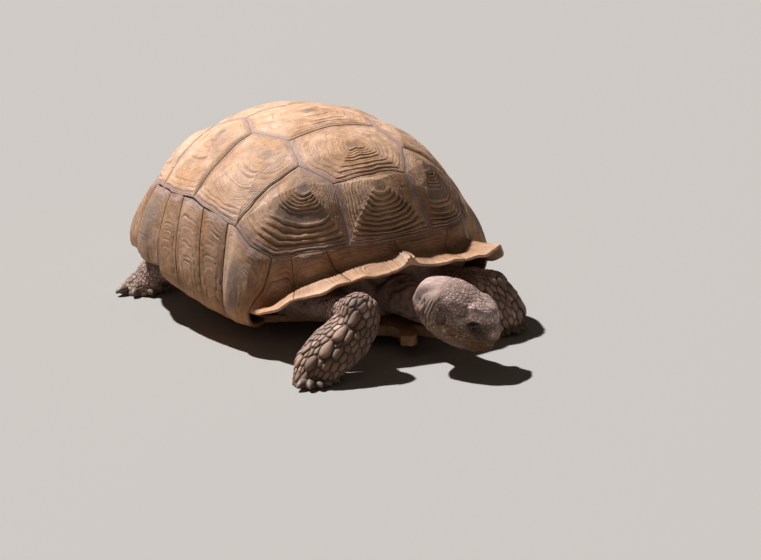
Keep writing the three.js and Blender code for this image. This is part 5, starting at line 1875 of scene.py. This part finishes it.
def coneTree():
    tree = bpy.data.node_groups.new("coneFan", "GeometryNodeTree")
    newSockets(tree, "INPUT", (
        ("Count", "NodeSocketInt", 5), ("Fan", "NodeSocketFloat", 1.7), ("Turn", "NodeSocketFloat", 0.0),
        ("Reach", "NodeSocketFloat", 0.04), ("Centre", "NodeSocketVector", (0, 0, 0)),
        ("Length", "NodeSocketFloat", 0.02), ("Radius", "NodeSocketFloat", 0.007),
        ("Drop", "NodeSocketFloat", 0.006), ("Seed", "NodeSocketInt", 0),
        ("Material", "NodeSocketMaterial")))
    newSockets(tree, "OUTPUT", [("Geometry", "NodeSocketGeometry")])
    given = addNode(tree, "NodeGroupInput").outputs

    def scaled(value, share):
        return times(tree, value, share)

    def point(**sockets):
        return nodeWith(tree, "ShaderNodeCombineXYZ", sockets)

    # one cone: a curve that droops towards its tip, swept by a circle
    length, drop = given["Length"], given["Drop"]
    line = nodeWith(tree, "GeometryNodeCurveQuadraticBezier", {
        "Resolution": 14, "Start": point(Y=scaled(length, 0.35)),
        "Middle": point(Y=scaled(length, -0.35), Z=scaled(drop, 0.25)),
        "End": point(Y=scaled(length, -0.70), Z=scaled(drop, -1.0)),
    })
    along = addNode(tree, "GeometryNodeSplineParameter").outputs["Factor"]
    taper = calc(tree, "MULTIPLY_ADD", calc(tree, "POWER", along, 2.4), -0.78, 1.0)
    thick = scaled(taper, given["Radius"])
    shaped = nodeWith(tree, "GeometryNodeSetCurveRadius", {"Curve": line, "Radius": thick})
    ring = nodeWith(tree, "GeometryNodeCurvePrimitiveCircle", {"Resolution": 16, "Radius": 1.0})
    sweep = nodeWith(tree, "GeometryNodeCurveToMesh",
                     {"Fill Caps": True, "Curve": shaped, "Profile Curve": ring})
    for label in ("Radius", "Scale"):
        if label in sweep.node.inputs:
            tree.links.new(thick, sweep.node.inputs[label])
    cone = nodeWith(tree, "GeometryNodeTransform", {"Geometry": sweep, "Scale": (1.0, 1.0, 0.8)})

    # the fan: points evenly on an arc
    points = nodeWith(tree, "GeometryNodePoints", {"Count": given["Count"]})
    index = addNode(tree, "GeometryNodeInputIndex").outputs[0]
    last = calc(tree, "MAXIMUM", calc(tree, "SUBTRACT", given["Count"], 1.0), 1.0)
    share = calc(tree, "SUBTRACT", calc(tree, "DIVIDE", index, last), 0.5)
    angle = calc(tree, "ADD", scaled(share, given["Fan"]), given["Turn"])
    spot = point(X=calc(tree, "SINE", angle), Y=scaled(calc(tree, "COSINE", angle), -1.0))
    reached = nodeWith(tree, "ShaderNodeVectorMath", {0: spot, "Scale": given["Reach"]}, operation="SCALE")
    placed = nodeWith(tree, "ShaderNodeVectorMath", {0: reached, 1: given["Centre"]}, operation="ADD")
    seated = nodeWith(tree, "GeometryNodeSetPosition", {"Geometry": points, "Position": placed})
    varied = nodeWith(tree, "FunctionNodeRandomValue", {2: 0.86, 3: 1.12, "Seed": given["Seed"]},
                      data_type="FLOAT")
    fan = nodeWith(tree, "GeometryNodeInstanceOnPoints", {
        "Points": seated, "Instance": cone, "Rotation": point(Z=angle), "Scale": varied.node.outputs[1],
    })
    real = nodeWith(tree, "GeometryNodeRealizeInstances", {0: fan})
    horn = nodeWith(tree, "GeometryNodeSetMaterial", {"Geometry": real, "Material": given["Material"]})
    tree.links.new(horn, addNode(tree, "NodeGroupOutput").inputs["Geometry"])
    return tree


coneFan = coneTree()


def growCones(name, settings):
    made = makeObject(name, bpy.data.meshes.new(name))
    grower = made.modifiers.new("grow", "NODES")
    grower.node_group = coneFan
    sockets = {item.name: item.identifier for item in coneFan.interface.items_tree if item.in_out == "INPUT"}
    for label, value in {"Material": clawHorn, **settings}.items():
        grower[sockets[label]] = value
    bpy.context.view_layer.update()
    grown = applied(made)
    grown.shade_smooth()
    grown.set_sharp_from_angle(angle=math.radians(50))
    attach(made, "root")
    return made


clawLook = {"Length": 0.021, "Radius": 0.0084, "Drop": 0.0042, "Fan": math.radians(104)}
spurLook = {"Count": 3, "Length": 0.020, "Radius": 0.0068, "Drop": 0.004, "Fan": math.radians(66)}
coneHeights = {"claw": 0.0095, "spur": 0.068}  # over the floor


def makeClaws():
    for i, (name, limb) in enumerate(limbs.items()):
        isFore = name.startswith("fore")
        size = foreLeg if isFore else hindLeg
        centre = toFrame(limb["foot"]) + (0, 0, coneHeights["claw"])
        growCones(name + "_claws", {
            **clawLook, "Count": 5 if isFore else 4, "Turn": math.radians(limb["turn"]),
            "Reach": (size["below"][-1][1] - 4) / 1000, "Centre": tuple(centre), "Seed": 7 + i,
        })


def makeSpurs():  # behind each thigh
    for i, name in enumerate(n for n in limbs if n.startswith("hind")):
        limb = limbs[name]
        middle = np.array(limb["joint"], float) * 0.72 + np.array(limb["foot"], float) * 0.28
        centre = toFrame(middle * (1, 1, 0)) + (0, 0, coneHeights["spur"])
        growCones(name + "_spurs", {
            **spurLook, "Turn": math.radians(limb["turn"] + 180),
            "Reach": (hindLeg["below"][1][1] - 2) / 1000, "Centre": tuple(centre), "Seed": 31 + i,
        })


makeClaws()
makeSpurs()
say("claws and spurs grown")


# floor, light and camera

cameraView = {
    "azimuth": -29.5, "elevation": 16.5, "roll": -1.7, "distance": 6.58, "lens": 176.9, "sensor": 36,
    "target": (0.139, 0.0914, 0.0084),
}
floorLook = {"size": 24, "colour": (0.36, 0.35, 0.335)}
lightLook = {
    "sunWay": (-0.16, 0.58, 0.80), "sunStrength": 6.2, "sunAngle": 2, "sunColour": (1.0, 0.97, 0.96),
    "skyColour": (1.0, 0.85, 0.70), "skyStrength": 0.06,
    "fillPower": 1.15, "fillSize": 2.5, "fillPlace": (-2.6, -2.4, 2.2), "fillWay": (-2.6, -2.4, 2.0),
}


def makeFloor():
    half = floorLook["size"] / 2
    mesh = makeMesh("floor",
                    np.array([(-half, -half, 0), (half, -half, 0), (half, half, 0), (-half, half, 0)]),
                    np.array([(0, 1, 2, 3)]))
    floor = makeObject("floor", mesh)
    material, tree, surface = newMaterial("paleFloor")
    setSurface(tree, surface, {"Base Color": (*floorLook["colour"], 1), "Roughness": 0.9})
    mesh.materials.append(material)


def turnedTo(way):
    return Vector(way).to_track_quat("Z", "Y").to_euler()


def makeLights():
    sun = bpy.data.lights.new("key", "SUN")
    sun.energy = lightLook["sunStrength"]
    sun.angle = math.radians(lightLook["sunAngle"])
    sun.color = lightLook["sunColour"]
    makeObject("key", sun).rotation_euler = turnedTo(lightLook["sunWay"])
    softbox = bpy.data.lights.new("fill", "AREA")
    softbox.energy = lightLook["fillPower"]
    softbox.size = lightLook["fillSize"]
    softbox.color = lightLook["skyColour"]
    fill = makeObject("fill", softbox)
    fill.location = lightLook["fillPlace"]
    fill.rotation_euler = turnedTo(lightLook["fillWay"])
    world = bpy.data.worlds.new("studio")
    world.use_nodes = True
    backdrop = world.node_tree.nodes["Background"]
    backdrop.inputs[0].default_value = (*lightLook["skyColour"], 1)
    backdrop.inputs[1].default_value = lightLook["skyStrength"]
    bpy.context.scene.world = world


def makeCamera():
    azimuth, elevation = math.radians(cameraView["azimuth"]), math.radians(cameraView["elevation"])
    roll = math.radians(cameraView["roll"])
    back = Vector((math.sin(azimuth) * math.cos(elevation), -math.cos(azimuth) * math.cos(elevation),
                   math.sin(elevation)))
    right = Vector((math.cos(azimuth), math.sin(azimuth), 0))
    up = back.cross(right)
    turnedRight = math.cos(roll) * right + math.sin(roll) * up
    turnedUp = -math.sin(roll) * right + math.cos(roll) * up
    data = bpy.data.cameras.new("camera")
    data.lens, data.sensor_width = cameraView["lens"], cameraView["sensor"]
    camera = makeObject("camera", data)
    axes = Matrix((turnedRight, turnedUp, back)).transposed().to_4x4()
    camera.matrix_world = Matrix.Translation(Vector(cameraView["target"])
                                             + back * cameraView["distance"]) @ axes
    bpy.context.scene.camera = camera


makeFloor()
makeLights()
makeCamera()
bpy.context.scene.view_settings.view_transform = "Standard"
say("floor, light and camera set")
